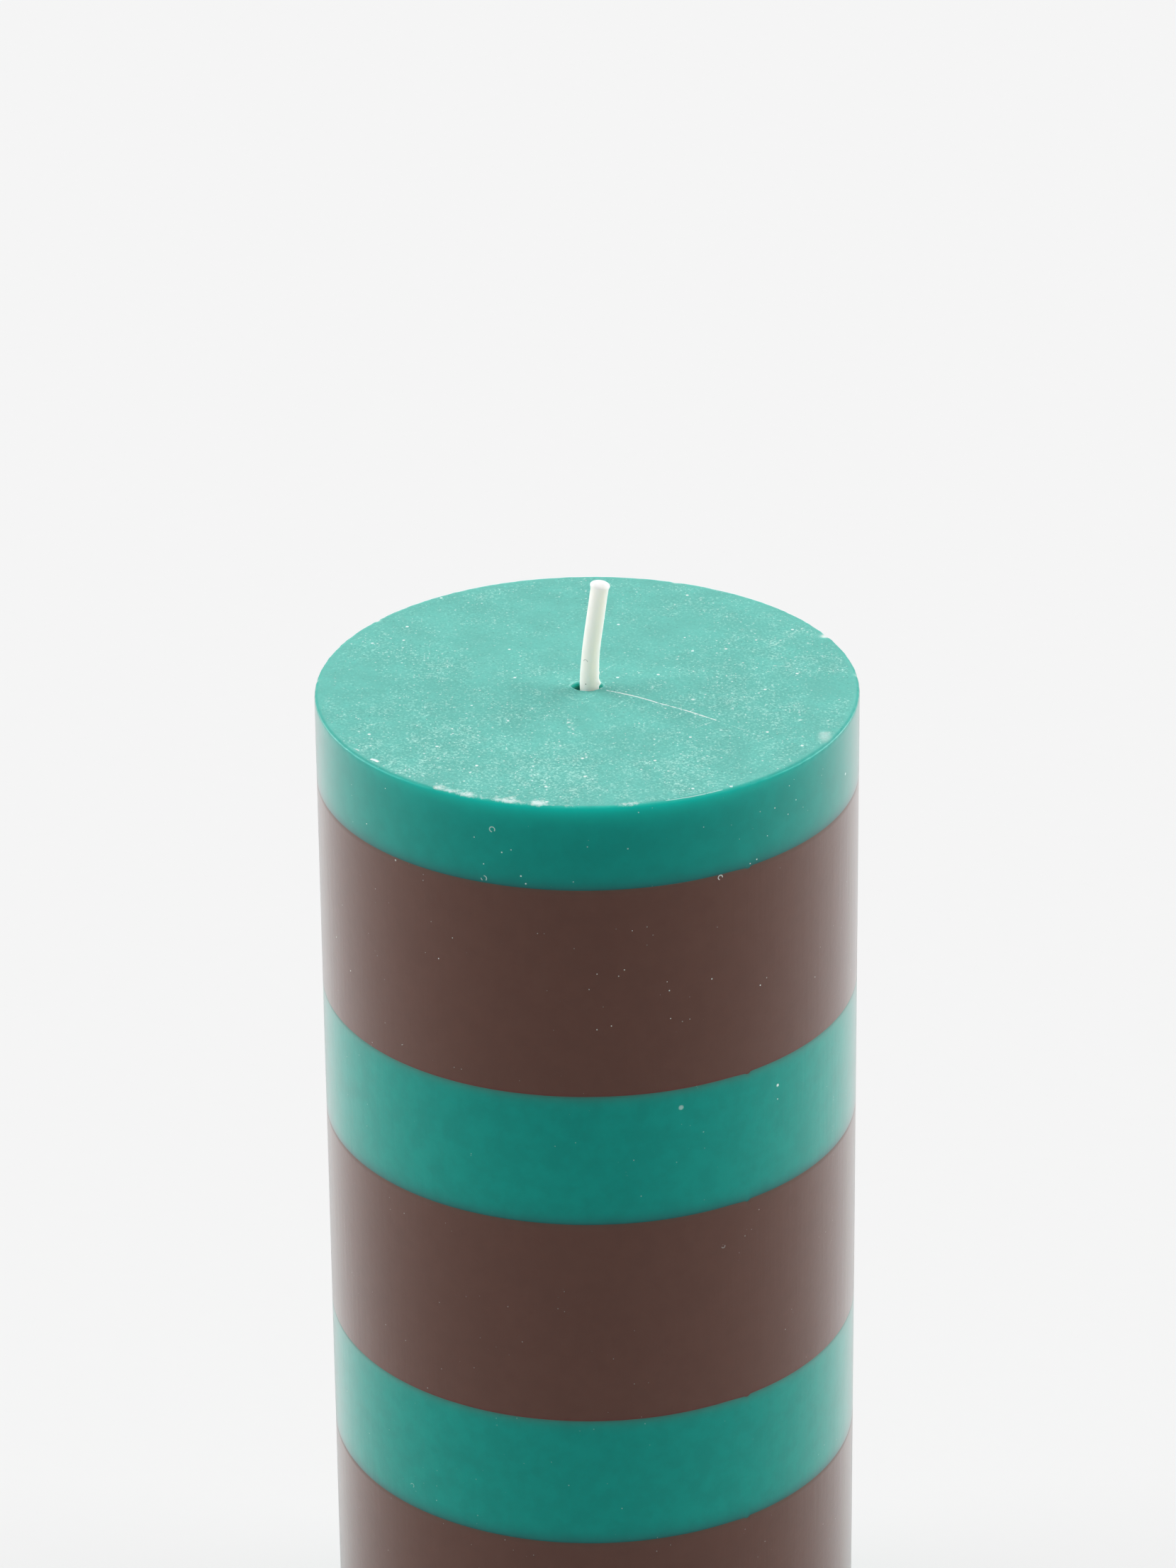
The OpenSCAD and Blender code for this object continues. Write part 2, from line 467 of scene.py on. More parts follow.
# %% [markdown]
# ## Wax finishes
# Wax is a soft translucent solid: light goes in, is scattered and comes out a millimetre or so
# away, which is what the Principled shader's subsurface does. Two more layers matter here. The
# wax that touched the polished mould has a satin skin, which mirrors almost nothing when looked
# at squarely and a lot at a glancing angle; a coat with a low IOR does that. And where two bands
# meet, the colour turns over the last two millimetres: each band shines a little of its colour
# into the one below it, a reddish line runs along the brown's lower edge, and painted shade
# darkens the teal just above each joint below it. Every band carries its distance from its own
# two joints for that. The faint bloom that wax sweats out stands on the surface like a very
# short velvet, which is what sheen is for.
# Dust and lint are strewn by noise, and the few marks that one notices have places of their own.

# %% Wax finishes
TEAL = paint(2, 142, 130)
# A glowing teal: painted light for the light that comes through the wax under the rim and in the bore
PAINTED_GLOW_TEAL = paint(4, 227, 209)
# The top's pale teal, which also holds a painted reflection of the bright studio
TOP_TEAL_WITH_PAINTED_REFLECTION = paint(106, 191, 179)
BROWN = paint(94, 67, 58)
BROWN_RIM = paint(98, 52, 46)
# Painted shade, which darkens the teal just above a joint below it
JOINT_PAINTED_SHADE = paint(40, 54, 64)
DUST = paint(236, 250, 245)


SATIN = dict(
    Roughness=0.32, IOR=1.6, Coat_Weight=1.0, Coat_IOR=1.13, Coat_Roughness=0.22,
    Sheen_Weight=1.0, Sheen_Roughness=0.3,
)


def wax_shader(name, mirrored, radius, **skin):
    """The shader that every band shares: satin over translucent wax. mirrored tints what is
    mirrored squarely, radius is how far each colour travels inside, and skin holds the values
    in which this wax's surface differs from SATIN."""
    return new_finish(
        name,
        Specular_Tint=mirrored,
        Subsurface_Weight=0.5,
        Subsurface_Radius=radius,
        Subsurface_Scale=1.0,
        **(SATIN | skin),
    )


def curls(tree, place, pitch, radius, thickness, share):
    """Curled hairs: a share of the cells of space hold a ring, of which noise leaves an arc."""
    cells = add(tree, "TexVoronoi", {"Vector": place, "Scale": 1.0 / pitch})
    luck = add(tree, "SeparateColor", {"Color": cells.outputs["Color"]}).outputs[1]
    out = times(tree, cells.outputs["Distance"], pitch)
    ring = between(tree, apart(tree, out, radius), thickness, 0.3 * thickness)
    arc = between(tree, grain(tree, place, 2.5 * radius, 0.0), 0.48, 0.55)
    chosen = calc(tree, "GREATER_THAN", luck, 1.0 - share)
    return times(tree, times(tree, ring, arc), chosen)


# The marks that one notices: degrees round from the front, mm above the table, size in mm, how
# white, and True for a curled hair, of which noise leaves an arc
WALL_BITS = [
    (-20, 146, 0.34, 0.5, True), (-22, 139, 0.36, 0.5, True), (28, 138, 0.3, 0.7, True),
    (-24, 144.5, 0.1, 0.8, False), (-18, 143, 0.12, 0.8, False), (-16, 143.5, 0.1, 0.7, False),
    (-22, 141, 0.1, 0.9, False), (-14, 140, 0.13, 0.9, False), (-13, 139, 0.13, 0.9, False),
    (8, 144, 0.12, 0.5, False), (37, 139, 0.12, 0.8, False), (38, 121, 0.12, 0.9, False),
    (26, 124, 0.12, 0.8, False), (43, 105.5, 0.26, 0.8, False), (43, 103.5, 0.12, 0.7, False),
    (19, 106.5, 0.42, 0.4, False), (-44, 138, 0.16, 0.5, False),
]


def on_the_wall(degrees, height):
    """The point of the wall at an angle round from the front and a height above the table."""
    angle = math.radians(degrees)
    return (RADIUS * math.sin(angle), -RADIUS * math.cos(angle), height)


def wall_bits(tree, place):
    """The share of the bits in WALL_BITS: a bit is 1 inside its size, and a hair is 1 near a
    circle of its size, where noise leaves it."""
    shown = 0.0
    torn = between(tree, grain(tree, place, 0.8 * MM, 0.0), 0.42, 0.5)
    for degrees, height, size, strength, curled in WALL_BITS:
        away = vector(tree, "DISTANCE", place, on_the_wall(degrees, height * MM))
        if curled:
            arc = between(tree, apart(tree, away, size * MM), 0.09 * MM, 0.03 * MM)
            bit = times(tree, arc, torn)
        else:
            bit = between(tree, away, size * MM, 0.5 * size * MM)
        shown = most(tree, shown, times(tree, bit, strength))
    return shown


def wall_marks(tree, place):
    """The share of dust and lint on the wall: fine specks that gather in some places, fewer
    larger ones, curled hairs, and straight ones, which are specks of a space that is squashed
    along a slanting axis. Most of it lies high up, where hands hold a candle."""
    height = add(tree, "SeparateXYZ", {0: place}).outputs["Z"]
    handled = between(tree, height, 95 * MM, 125 * MM)
    much = plus(tree, times(tree, handled, 0.6), 0.3)
    dusty = between(tree, grain(tree, place, 9 * MM, 2.0), 0.5, 0.64)
    fine = times(tree, specks(tree, place, 0.9 * MM, 0.09 * MM, 0.45), dusty)
    large = specks(tree, place, 3.4 * MM, 0.11 * MM, 0.25)
    slant = add(tree, "Mapping", {"Vector": place, "Rotation": (0.5, 0.7, 0.3), "Scale": (1, 1, 0.12)})
    hairs = specks(tree, slant.outputs[0], 4.0 * MM, 0.1 * MM, 0.3)
    marks = most(tree, fine, large)
    lint = most(tree, hairs, curls(tree, place, 6.0 * MM, 0.3 * MM, 0.06 * MM, 0.3))
    strewn = times(tree, most(tree, marks, lint), much)
    return most(tree, strewn, wall_bits(tree, place))


def wall_bump(tree, place, shader):
    """Small pits and the faint upright lines that the mould's polish leaves, here and there."""
    lines = grain(tree, object_place(tree, (1.0, 1.0, 0.05)), 1.1 * MM, 3.0)
    lines = times(tree, lines, between(tree, grain(tree, place, 12 * MM), 0.3, 0.7))
    pits = grain(tree, place, 0.9 * MM, 4.0)
    height = plus(tree, times(tree, lines, 1.2), times(tree, pits, 0.5))
    set_bump(tree, shader, height, 0.6, 0.03 * MM)


def mottled(tree, place, colour, cloudy, fine):
    """A colour with large clouds and small ones. Both are given as the share by which the
    colour is darker or lighter at most."""
    large = mix(tree, grain(tree, place, 16 * MM), shade(colour, 1 - cloudy), shade(colour, 1 + cloudy))
    small = between(tree, grain(tree, place, 2.6 * MM, 4.0, 0.6), 0.3, 0.7)
    return tinted(tree, 1.0, large, mix(tree, small, grey(1 - fine), grey(1 + fine)))


def joint_tint_and_painted_shade(tree, shown, label, tint, share, fade):
    """A colour with a tint laid in at a joint, which the bands use for a neighbour's colour that
    shines in, for a reddish line and for painted shade: share of it at the joint, and a third of
    that after each fade of distance, which the mesh carries as label."""
    away = times(tree, attribute(tree, label), -1.0 / fade)
    strength = times(tree, calc(tree, "EXPONENT", away), share, clamp=True)
    return mix(tree, strength, shown, tint)


def band_finish(name, colour, fine, mirrored, radius, above, below):
    """Wax of one colour. above and below are the tint, share and fade at the upper and lower
    joint; for the teal, below is painted shade."""
    material, tree, shader = wax_shader(name, mirrored, radius)
    place = object_place(tree)
    shown = mottled(tree, place, colour, 0.06, fine)
    shown = joint_tint_and_painted_shade(tree, shown, "from_top", *above)
    shown = joint_tint_and_painted_shade(tree, shown, "from_foot", *below)
    shown = mix(tree, wall_marks(tree, place), shown, DUST)
    tree.links.new(shown, shader.inputs["Base Color"])
    wall_bump(tree, place, shader)
    return material


TEAL_MIRRORED = (0.02, 0.5, 0.45, 1.0)
BROWN_MIRRORED = (0.25, 0.12, 0.1, 1.0)
TEAL_REACH = (0.2 * MM, 1.0 * MM, 0.9 * MM)
BROWN_REACH = (0.5 * MM, 0.25 * MM, 0.2 * MM)
BROWN_ABOVE = (BROWN, 0.55, 0.5 * MM)
# The teal's lower edge takes painted shade
PAINTED_SHADE_BELOW = (JOINT_PAINTED_SHADE, 0.75, 0.85 * MM)
TEAL_ABOVE = (TEAL, 0.1, 0.3 * MM)
RIM_BELOW = (BROWN_RIM, 0.6, 0.25 * MM)
teal_wax = band_finish("teal_wax", TEAL, 0.06, TEAL_MIRRORED, TEAL_REACH, BROWN_ABOVE, PAINTED_SHADE_BELOW)
brown_wax = band_finish("brown_wax", BROWN, 0.03, BROWN_MIRRORED, BROWN_REACH, TEAL_ABOVE, RIM_BELOW)
print("finishes:", [m.name for m in bpy.data.materials])

# %% [markdown]
# ## The plain bands
# A middle band is four surfaces in a ring: the wall, the joint below, the bore and the joint
# above. Each is a stack of rings, and the stacks are joined in that order.

# %% The plain bands
WALL_INSET = 0.02 * MM


def wall_rows(z_from, z_to, rows, seed):
    """The outside wall as a stack of rings between two wavy heights, with its shallow relief."""
    share = np.linspace(0, 1, rows)[:, None]
    height = z_from[None, :] * (1 - share) + z_to[None, :] * share
    wall = round_the_axis(np.full((rows, 1), RADIUS), height)
    radius = RADIUS - WALL_INSET + wall_relief(wall, seed)
    return round_the_axis(radius, height)


def bore_rows(z_from, z_to, rows):
    """The bore's wall between two levels, its first and last rings left out."""
    height = np.linspace(z_from, z_to, rows + 2)[1:-1]
    return round_the_axis(np.full(rows, BORE_RADIUS), height, np.full(rows, BORE_BACK))


def band_edges(points, above, below):
    """What the finish reads: each point's depth under the upper joint and height over the lower."""
    z = points[..., 2]
    return {"from_top": np.maximum(above - z, 0), "from_foot": np.maximum(z - below, 0)}


def plain_band(node, above, below, material, seed):
    """A middle band between two wavy joints."""
    wall = wall_rows(above, below, 44, seed)
    lower = joint_rows(below, 9, 7)
    upper = joint_rows(above, 9, 7)
    lower[0], upper[0] = wall[-1], wall[0]
    bore = bore_rows(lower[-1, 0, 2], upper[-1, 0, 2], 3)
    points = np.concatenate([wall, lower[1:], bore, upper[:0:-1]])
    faces = grid_faces(len(points), COLUMNS, True)
    carried = band_edges(points, above, below)
    return make_piece(node + "_wax", points, faces, [node], [material], carried=carried)


waxes = {"teal_wax": teal_wax, "brown_wax": brown_wax}
for k, band in enumerate(BANDS[1:-1], start=1):
    slot = "teal_wax" if "teal" in band else "brown_wax"
    plain_band(band, joints[BANDS[k - 1]], joints[band], waxes[slot], 60 + 5 * k)

# %% [markdown]
# ## The cap
# The cap was the first pour, and its top face lay on the mould's floor. That face is what one
# looks at, so it has the closest rings: a softened mouth round the bore with a ragged burr where
# the pin was pulled, shallow dents, and a rim that is chipped and rubbed white in places.

# %% The cap's shape
RIM = 0.5 * MM
TOP_SINK = 0.04 * MM
MOUTH = 0.1 * MM
MOUTH_MIDDLE = 0.25 * MM
MOUTH_NARROW = 0.73
MOUTH_REACH = 1.2 * MM
BURR_SIDE = -100
BURR_WIDTH = 40
# Each chip: degrees round from the front, half its width in degrees, and its depth in mm
CHIPS = [(116, 0.9, 0.5), (-128, 0.6, 0.3), (160, 0.8, 0.3), (-95, 0.5, 0.2), (95, 0.6, 0.22)]
# Each rubbed stretch of rim: degrees round, half its width in degrees, and how white it is
RUBBED = [(-32, 4, 0.7), (-25, 4, 0.75), (-17, 4, 0.85), (-10, 3, 0.8), (-4, 2, 0.65), (8, 4, 0.75),
          (22, 3, 0.3), (-64, 4, 0.3), (-42, 4, 0.4), (44, 5, 0.2), (118, 8, 0.4), (-130, 12, 0.4),
          (95, 10, 0.3), (150, 9, 0.5), (-165, 8, 0.4)]
# Where the top has frost: place (x, y) in mm from the middle, reach in mm, and how much. The two small
# patches at (0, -8) and (0, -12) take the frost away below the wick as a painted reflection of it
FROST_AND_PAINTED_REFLECTION = [(-4, -26, 7, 0.17), (-21, -18, 8, 0.1), (12, -25, 7, 0.07), (20, -6, 9, 0.08),
           (22, 13, 6, 0.06), (0, 33, 4, 0.06), (0, 20, 16, -0.16), (0, -8, 2, -0.2),
           (0, -12, 2, -0.2), (-31, 2, 6, -0.2), (31, -2, 4, -0.2)]
LUMP_PLACE = (30.0 * MM, -15.7 * MM)
LUMP_SIZE = (0.8 * MM, 1.5 * MM)


def round_hump(angle, middle, width):
    """1 at an angle of middle degrees round the candle and fading away width degrees from it."""
    off = (angle - middle + 180) % 360 - 180
    return np.exp(-((off / width) ** 2))


def top_radii():
    """The top face's rings: close together near the bore and near the rim, wider between."""
    near_bore = BORE_RADIUS + MOUTH + np.linspace(0, 1.0, 12) ** 1.5 * 1.1 * MM
    near_rim = RADIUS - RIM - np.linspace(2.6 * MM, 0, 14)
    middle = np.linspace(near_bore[-1], near_rim[0], 52)[1:-1]
    return np.concatenate([near_bore, middle, near_rim])


def top_face_rows():
    """The top face with its dents and the burr round the bore's mouth."""
    r = top_radii()
    back = BORE_BACK * np.clip((RADIUS - RIM - r) / (RADIUS - RIM - BORE_RADIUS), 0, 1)
    face = round_the_axis(r, np.full(len(r), top_z), back)
    dents = sum(
        depth * hills(face, size * MM, seed)
        for depth, size, seed in ((0.03, 11, 5), (0.014, 3, 6), (0.007, 1.1, 7))
    )
    face[..., 2] += MM * dents - TOP_SINK
    from_mouth = (r - BORE_RADIUS - MOUTH)[:, None]
    ragged = 0.5 + 0.5 * hills(face, 0.8 * MM, 8)
    burr = 0.04 + 0.18 * round_hump(np.degrees(turn), BURR_SIDE, BURR_WIDTH) * ragged + 0.05 * ragged
    face[..., 2] += MM * (burr * np.exp(-((from_mouth / (0.18 * MM)) ** 2)) + 0.08 * lump_shape(face))
    return face


def narrow_mouth(points):
    """The bore's mouth, pressed narrower from front to back, most of all at its two sides: there
    y becomes MOUTH_MIDDLE plus a share of its distance from the bore's axis. The share falls
    with the cube of x, and the change fades away from the mouth."""
    outward = (np.hypot(points[..., 0], points[..., 1] - BORE_BACK) - BORE_RADIUS) / MOUTH_REACH
    down = (top_z - points[..., 2]) / MOUTH_REACH
    share = np.exp(-(outward**2) - down**2)
    pressed = points.copy()
    to_side = np.clip(np.abs(points[..., 0]) / BORE_RADIUS, 0, 1)
    narrow_y = MOUTH_MIDDLE + MOUTH_NARROW * (1 - 0.3 * to_side**3) * (points[..., 1] - BORE_BACK)
    pressed[..., 1] += share * (narrow_y - points[..., 1])
    return pressed


def arc_rows(r_middle, z_middle, radius, start, stop, rows, back=0.0):
    """Rings along a quarter round: the point at angle a is (r + radius cos a, z + radius sin a)."""
    a = np.radians(np.linspace(start, stop, rows))
    places = np.full(rows, back)
    return round_the_axis(r_middle + radius * np.cos(a), z_middle + radius * np.sin(a), places)


def wear_of_rim(points):
    """Chips: each pulls the rim in and down, and is widest at the rim itself."""
    angle = np.degrees(np.arctan2(points[..., 0], -points[..., 1]))
    r = np.hypot(points[..., 0], points[..., 1])
    from_rim = np.hypot(RADIUS - r, top_z - points[..., 2]) / MM
    edge = 1 + 0.6 * hills(points, 0.5 * MM, 22)
    depth = edge * sum(
        deep * round_hump(angle, at, width) * np.exp(-((from_rim / (1.4 * deep + 0.1)) ** 2))
        for at, width, deep in CHIPS
    )
    ragged = hills(points, 0.7 * MM, 21) * np.exp(-((from_rim / 0.5) ** 2))
    pull = MM * (0.3 * depth + 0.03 * ragged)
    worn = points.copy()
    worn[..., 0] -= pull * points[..., 0] / np.maximum(r, MM)
    worn[..., 1] -= pull * points[..., 1] / np.maximum(r, MM)
    worn[..., 2] -= pull
    return worn, np.clip(2.5 * depth, 0, 1)


def rubbed_white(points):
    """How much the rim is rubbed white: patches that reach in over the top, broken up by noise."""
    angle = np.degrees(np.arctan2(points[..., 0], -points[..., 1]))
    from_rim = (RADIUS - np.hypot(points[..., 0], points[..., 1])) / MM
    patches = sum(amount * round_hump(angle, at, width) for at, width, amount in RUBBED)
    reach = 2.2 + 1.2 * hills(points, 3 * MM, 31)
    level = np.exp(-(((top_z - points[..., 2]) / (0.3 * MM)) ** 2))
    return np.clip(patches * level * np.exp(-((from_rim / reach) ** 2)), 0, 1.2)


def frost_and_painted_reflection(points):
    """How densely the top is covered in white grains, from 0 to 1: a few wide patches, clouds,
    two small bare patches below the wick that are a painted reflection of it, and none on the smooth
    band just inside the rim."""
    x, y = points[..., 0] / MM, points[..., 1] / MM
    dense = 0.3 + 0.07 * hills(points, 6 * MM, 33) + 0.1 * hills(points, 2.2 * MM, 34)
    for at_x, at_y, reach, amount in FROST_AND_PAINTED_REFLECTION:
        dense = dense + amount * np.exp(-((x - at_x) ** 2 + (y - at_y) ** 2) / reach**2)
    from_rim = RADIUS / MM - np.hypot(x, y)
    front = np.clip(-y / 35, 0, 1)
    return np.clip(dense, 0, 1) * np.clip((from_rim - 0.5 * (1 - front)) / 0.8, 0, 1)


def lump_shape(points):
    """The pressed-up lump near the rim: 1 in its middle, higher behind than in front. Each
    point's distance from its middle is counted in lump sizes."""
    x, y = points[..., 0] - LUMP_PLACE[0], points[..., 1] - LUMP_PLACE[1]
    uneven = 1 + 0.15 * hills(points, 0.9 * MM, 35)
    far = uneven * np.hypot(x / LUMP_SIZE[0], y / LUMP_SIZE[1])
    back = (y - 0.5 * x) / LUMP_SIZE[1]
    return np.exp(-(far**3)) * np.clip(0.75 + 0.25 * back, 0.4, 1)


# How deep the painted light under the rim and in the bore reaches, and how deep the mouth is pale
PAINTED_GLOW_DEPTH = 1.1 * MM
PALE_MOUTH = 0.25 * MM
BORE_PAINTED_GLOW = 2.6 * MM


CLOSE_RINGS = 3 * MM


def cap_stacks(below):
    """The cap's surfaces in order round its ring: top face, rim, wall, joint, bore and mouth.
    The bore's rings are closer together in its uppermost CLOSE_RINGS."""
    face = top_face_rows()
    rim = arc_rows(RADIUS - RIM, top_z - RIM, RIM, 90, 0, 8)[1:]
    rim[..., 2] -= TOP_SINK * np.linspace(1, 0, len(rim))[:, None]
    rim[..., :2] *= 1 - WALL_INSET / RADIUS
    wall = wall_rows(np.full(COLUMNS, top_z - RIM), below, 24, 50)[1:]
    lower = joint_rows(below, 8, 6)[1:]
    close = top_z - CLOSE_RINGS
    deep = bore_rows(lower[-1, 0, 2], close, 3)
    bore = np.concatenate([deep, bore_rows(close, top_z - MOUTH, 12)])
    mouth = arc_rows(BORE_RADIUS + MOUTH, top_z - MOUTH, MOUTH, 180, 90, 5, BORE_BACK)[:-1]
    return face, rim, wall, lower, bore, mouth


def make_cap(wall_wax, top_wax):
    """The cap, in one closed ring of rows. The top's finish ends halfway round the rim, and it
    also covers the mouth. top_share, painted_glow and the rest are what the finish reads."""
    below = joints["cap_teal"]
    stacks = cap_stacks(below)
    face, rim, inner = len(stacks[0]), len(stacks[1]), len(stacks[4]) + len(stacks[5])
    points, chipped = wear_of_rim(narrow_mouth(np.concatenate(stacks)))
    depth = top_z - points[..., 2]
    top_share = np.zeros(depth.shape)
    top_share[:face] = 1.0
    top_share[face : face + rim] = (np.linspace(0.9, 0.0, rim) ** 2)[:, None]
    top_share[-inner:] = 0.9 * np.exp(-((depth[-inner:] / PALE_MOUTH) ** 2))
    # Painted light: a glowing colour stands in for light from the top face coming through the wall's
    # first millimetre. It is strongest at the front and back and faint on the flanks that the side
    # lamps light. In the bore it stands in for light through the wax.
    painted_glow = np.exp(-depth / PAINTED_GLOW_DEPTH) * (0.08 + 0.92 * np.cos(turn) ** 4)
    painted_glow[-inner:] = np.exp(-((depth[-inner:] / BORE_PAINTED_GLOW) ** 2))
    mouth_burr = np.zeros(depth.shape)
    mouth_burr[:3] = 0.3 + 0.7 * round_hump(np.degrees(turn), BURR_SIDE, BURR_WIDTH)
    carried = band_edges(points, np.full(COLUMNS, top_z), below) | {
        "top_share": top_share, "painted_glow": painted_glow, "chipped": chipped, "rubbed": rubbed_white(points),
        "frost_and_painted_reflection": frost_and_painted_reflection(points), "lump": lump_shape(points) * top_share, "burr": mouth_burr,
    }
    faces = grid_faces(len(points), COLUMNS, True)
    row = np.arange(len(faces)) // COLUMNS
    is_wall = (row >= face + rim // 2) & (row < len(points) - len(stacks[5]) - 1)
    return make_piece(
        "cap_teal_wax", points, faces, ["cap_teal"], [top_wax, wall_wax],
        face_material=is_wall, carried=carried,
    )


# %% [markdown]
# ## The cap's finish
# The cap's wall is the same wax as the other teal bands, with painted light under the rim: a
# glowing teal that stands in for light from the top face coming through, and the same in the
# bore. The top face is paler: it is covered in a fine grain of scratches and white specks, and its
# colour also holds a painted reflection of the bright studio. It is rubbed dull too, and so has a
# skin of its own: with the wall's satin, a lamp behind it would turn it white when seen from the
# side. One long scratch runs out from the bore. A scratch is a thin stretch of a big circle, so it
# can be drawn from a point's distance to that circle.

# %% The cap's finish
RUBBED_DULL = dict(Roughness=0.55, Coat_Weight=0.0, Sheen_Weight=0.15, Specular_IOR_Level=0.2)
FROST = paint(205, 236, 228)
SPARKLE = paint(240, 250, 247)


def scratch(tree, place, start, end, bulge, width):
    """A thin curved scratch from start to end, in millimetres on the top face: 1 where the
    distance to a circle through both ends is under half the width, inside the part between
    them. bulge is how far its middle stands off the straight line."""
    start, end = np.array(start) * MM, np.array(end) * MM
    along = end - start
    length = np.linalg.norm(along)
    along /= length
    side = np.array([-along[1], along[0]])
    radius = (length**2 / 4 + (bulge * MM) ** 2) / (2 * bulge * MM)
    middle = (start + end) / 2
    centre = middle - side * (radius - bulge * MM)
    flat = vector(tree, "MULTIPLY", place, (1, 1, 0))
    off = apart(tree, vector(tree, "DISTANCE", flat, (*centre, 0)), radius)
    step = vector(tree, "SUBTRACT", flat, (*middle, 0))
    run = vector(tree, "DOT_PRODUCT", step, (*along, 0))
    across = vector(tree, "DOT_PRODUCT", step, (*side, 0))
    inside = between(tree, calc(tree, "ABSOLUTE", run), length / 2, 0.47 * length)
    this_side = calc(tree, "GREATER_THAN", across, -bulge * MM)
    thin = between(tree, off, width * MM / 2, 0.1 * width * MM)
    return times(tree, times(tree, thin, inside), this_side)


# Each scratch: its start and end (x, y) in mm, how far it bulges, its width, its whiteness, and
# the level of noise below which it is broken, where 0 leaves it whole and 0.5 takes half of it
SCRATCHES = [
    ((2.4, -1.0), (9.0, -4.9), 0.25, 0.36, 0.95, 0.34),
    ((8.6, -4.7), (16.5, -10.4), 0.2, 0.32, 0.95, 0.37),
    ((13.0, -7.9), (22.0, -15.2), 0.2, 0.2, 0.6, 0.5),
    ((1.5, 3.7), (3.6, 6.9), 0.15, 0.3, 0.5, 0.48),
    ((13.7, -12.6), (15.6, -11.0), 0.12, 0.18, 0.6, 0.4),
    ((-2.4, -9.3), (-2.6, -11.4), 0.12, 0.9, 0.6, 0.46),
    ((-2.5, -11.2), (-1.8, -13.0), 0.15, 0.9, 0.5, 0.48),
    ((24.0, 6.0), (28.5, 4.4), 0.3, 0.35, 0.5, 0.45),
    ((-27.3, -20.6), (-26.3, -21.5), 0.12, 0.7, 1.3, 0.15),
    ((-29.3, -17.6), (-28.8, -18.2), 0.08, 0.4, 0.6, 0.2),
]
RIM_LINE = (34.65, 29.0, 16.0, 0.16, 1.2, 0.3)


def rim_line(radius, start, stop, width, strength, gaps):
    """A thin white line along the rim, between two angles round from the front, in the same form
    as a scratch: its bulge is what its chord leaves of the radius."""
    angles = np.radians([start, stop])
    ends = np.stack([radius * np.sin(angles), -radius * np.cos(angles)], axis=-1)
    bulge = radius * (1 - math.cos(math.radians(start - stop) / 2))
    return (*ends, bulge, width, strength, gaps)


SCRATCHES.append(rim_line(*RIM_LINE))


def cap_wall_colour(tree, place):
    """The wall: teal with painted light under the rim and painted shade at the joint, with its marks.
    """
    wall = mottled(tree, place, shade(TEAL, 0.93), 0.08, 0.05)
    wall = mix(tree, attribute(tree, "painted_glow"), wall, PAINTED_GLOW_TEAL)
    wall = joint_tint_and_painted_shade(tree, wall, "from_foot", *PAINTED_SHADE_BELOW)
    return mix(tree, wall_marks(tree, place), wall, DUST)


def cap_top_colour(tree, place, turned, fine, clumps):
    """The top face: clouds of pale teal that hold a painted reflection, sugary grains where the
    frost is dense, painted shade in small pits, and white dots. fine and clumps are two sizes of noise."""
    clouds = between(tree, grain(tree, turned, 5 * MM, 5.0, 0.6), 0.3, 0.7)
    top = mix(tree, clouds, shade(TOP_TEAL_WITH_PAINTED_REFLECTION, 0.93), shade(TOP_TEAL_WITH_PAINTED_REFLECTION, 1.04))
    dense = attribute(tree, "frost_and_painted_reflection")
    heap = plus(tree, fine, times(tree, dense, 0.5))
    heap = plus(tree, heap, times(tree, clumps, 0.4))
    sugar = between(tree, heap, 0.86, 1.2)
    top = mix(tree, times(tree, sugar, 0.6), top, FROST)
    grainy = plus(tree, times(tree, dense, 1.8), 0.15, clamp=True)
    uneven = mix(tree, between(tree, fine, 0.25, 0.75), grey(0.82), grey(1.16))
    top = tinted(tree, grainy, top, uneven)
    # Painted shade in small pits: darker copies of the top's teal
    pits = specks(tree, place, 1.2 * MM, 0.12 * MM, 0.3, "2D")
    top = mix(tree, times(tree, pits, 0.5), top, shade(TOP_TEAL_WITH_PAINTED_REFLECTION, 0.45))
    small = specks(tree, place, 0.6 * MM, 0.1 * MM, 0.2, "2D")
    dots = most(tree, small, specks(tree, place, 1.7 * MM, 0.16 * MM, 0.3, "2D"))
    dots = times(tree, dots, times(tree, dense, 2.0), clamp=True)
    dots = most(tree, dots, specks(tree, place, 4.6 * MM, 0.24 * MM, 0.35, "2D"))
    return mix(tree, times(tree, dots, 0.85), top, SPARKLE)


def scratched(tree, top, place, broken):
    """The top's colour with every scratch drawn on it. The noise broken leaves gaps in them."""
    for start, end, bulge, width, strength, gaps in SCRATCHES:
        line = scratch(tree, place, start, end, bulge, width)
        crumbs = between(tree, broken, gaps, gaps + 0.15)
        line = times(tree, times(tree, line, strength), crumbs)
        top = mix(tree, line, top, SPARKLE)
    return top


def worn_white(tree, clumps, broken):
    """How white the wax is where it was rubbed, chipped or pressed up: the rubbed stretches of
    rim are crusty, while chips are white all over."""
    crust = times(tree, attribute(tree, "rubbed"), 0.6)
    crust = plus(tree, times(tree, clumps, 0.5), crust)
    crust = plus(tree, times(tree, broken, 0.5), crust)
    white = most(tree, between(tree, crust, 0.76, 1.02), attribute(tree, "chipped"))
    burr = times(tree, attribute(tree, "burr"), 0.5)
    pressed = times(tree, most(tree, attribute(tree, "lump"), burr), 0.8)
    pressed = times(tree, pressed, plus(tree, clumps, 0.3))
    return times(tree, most(tree, white, pressed), 0.78)


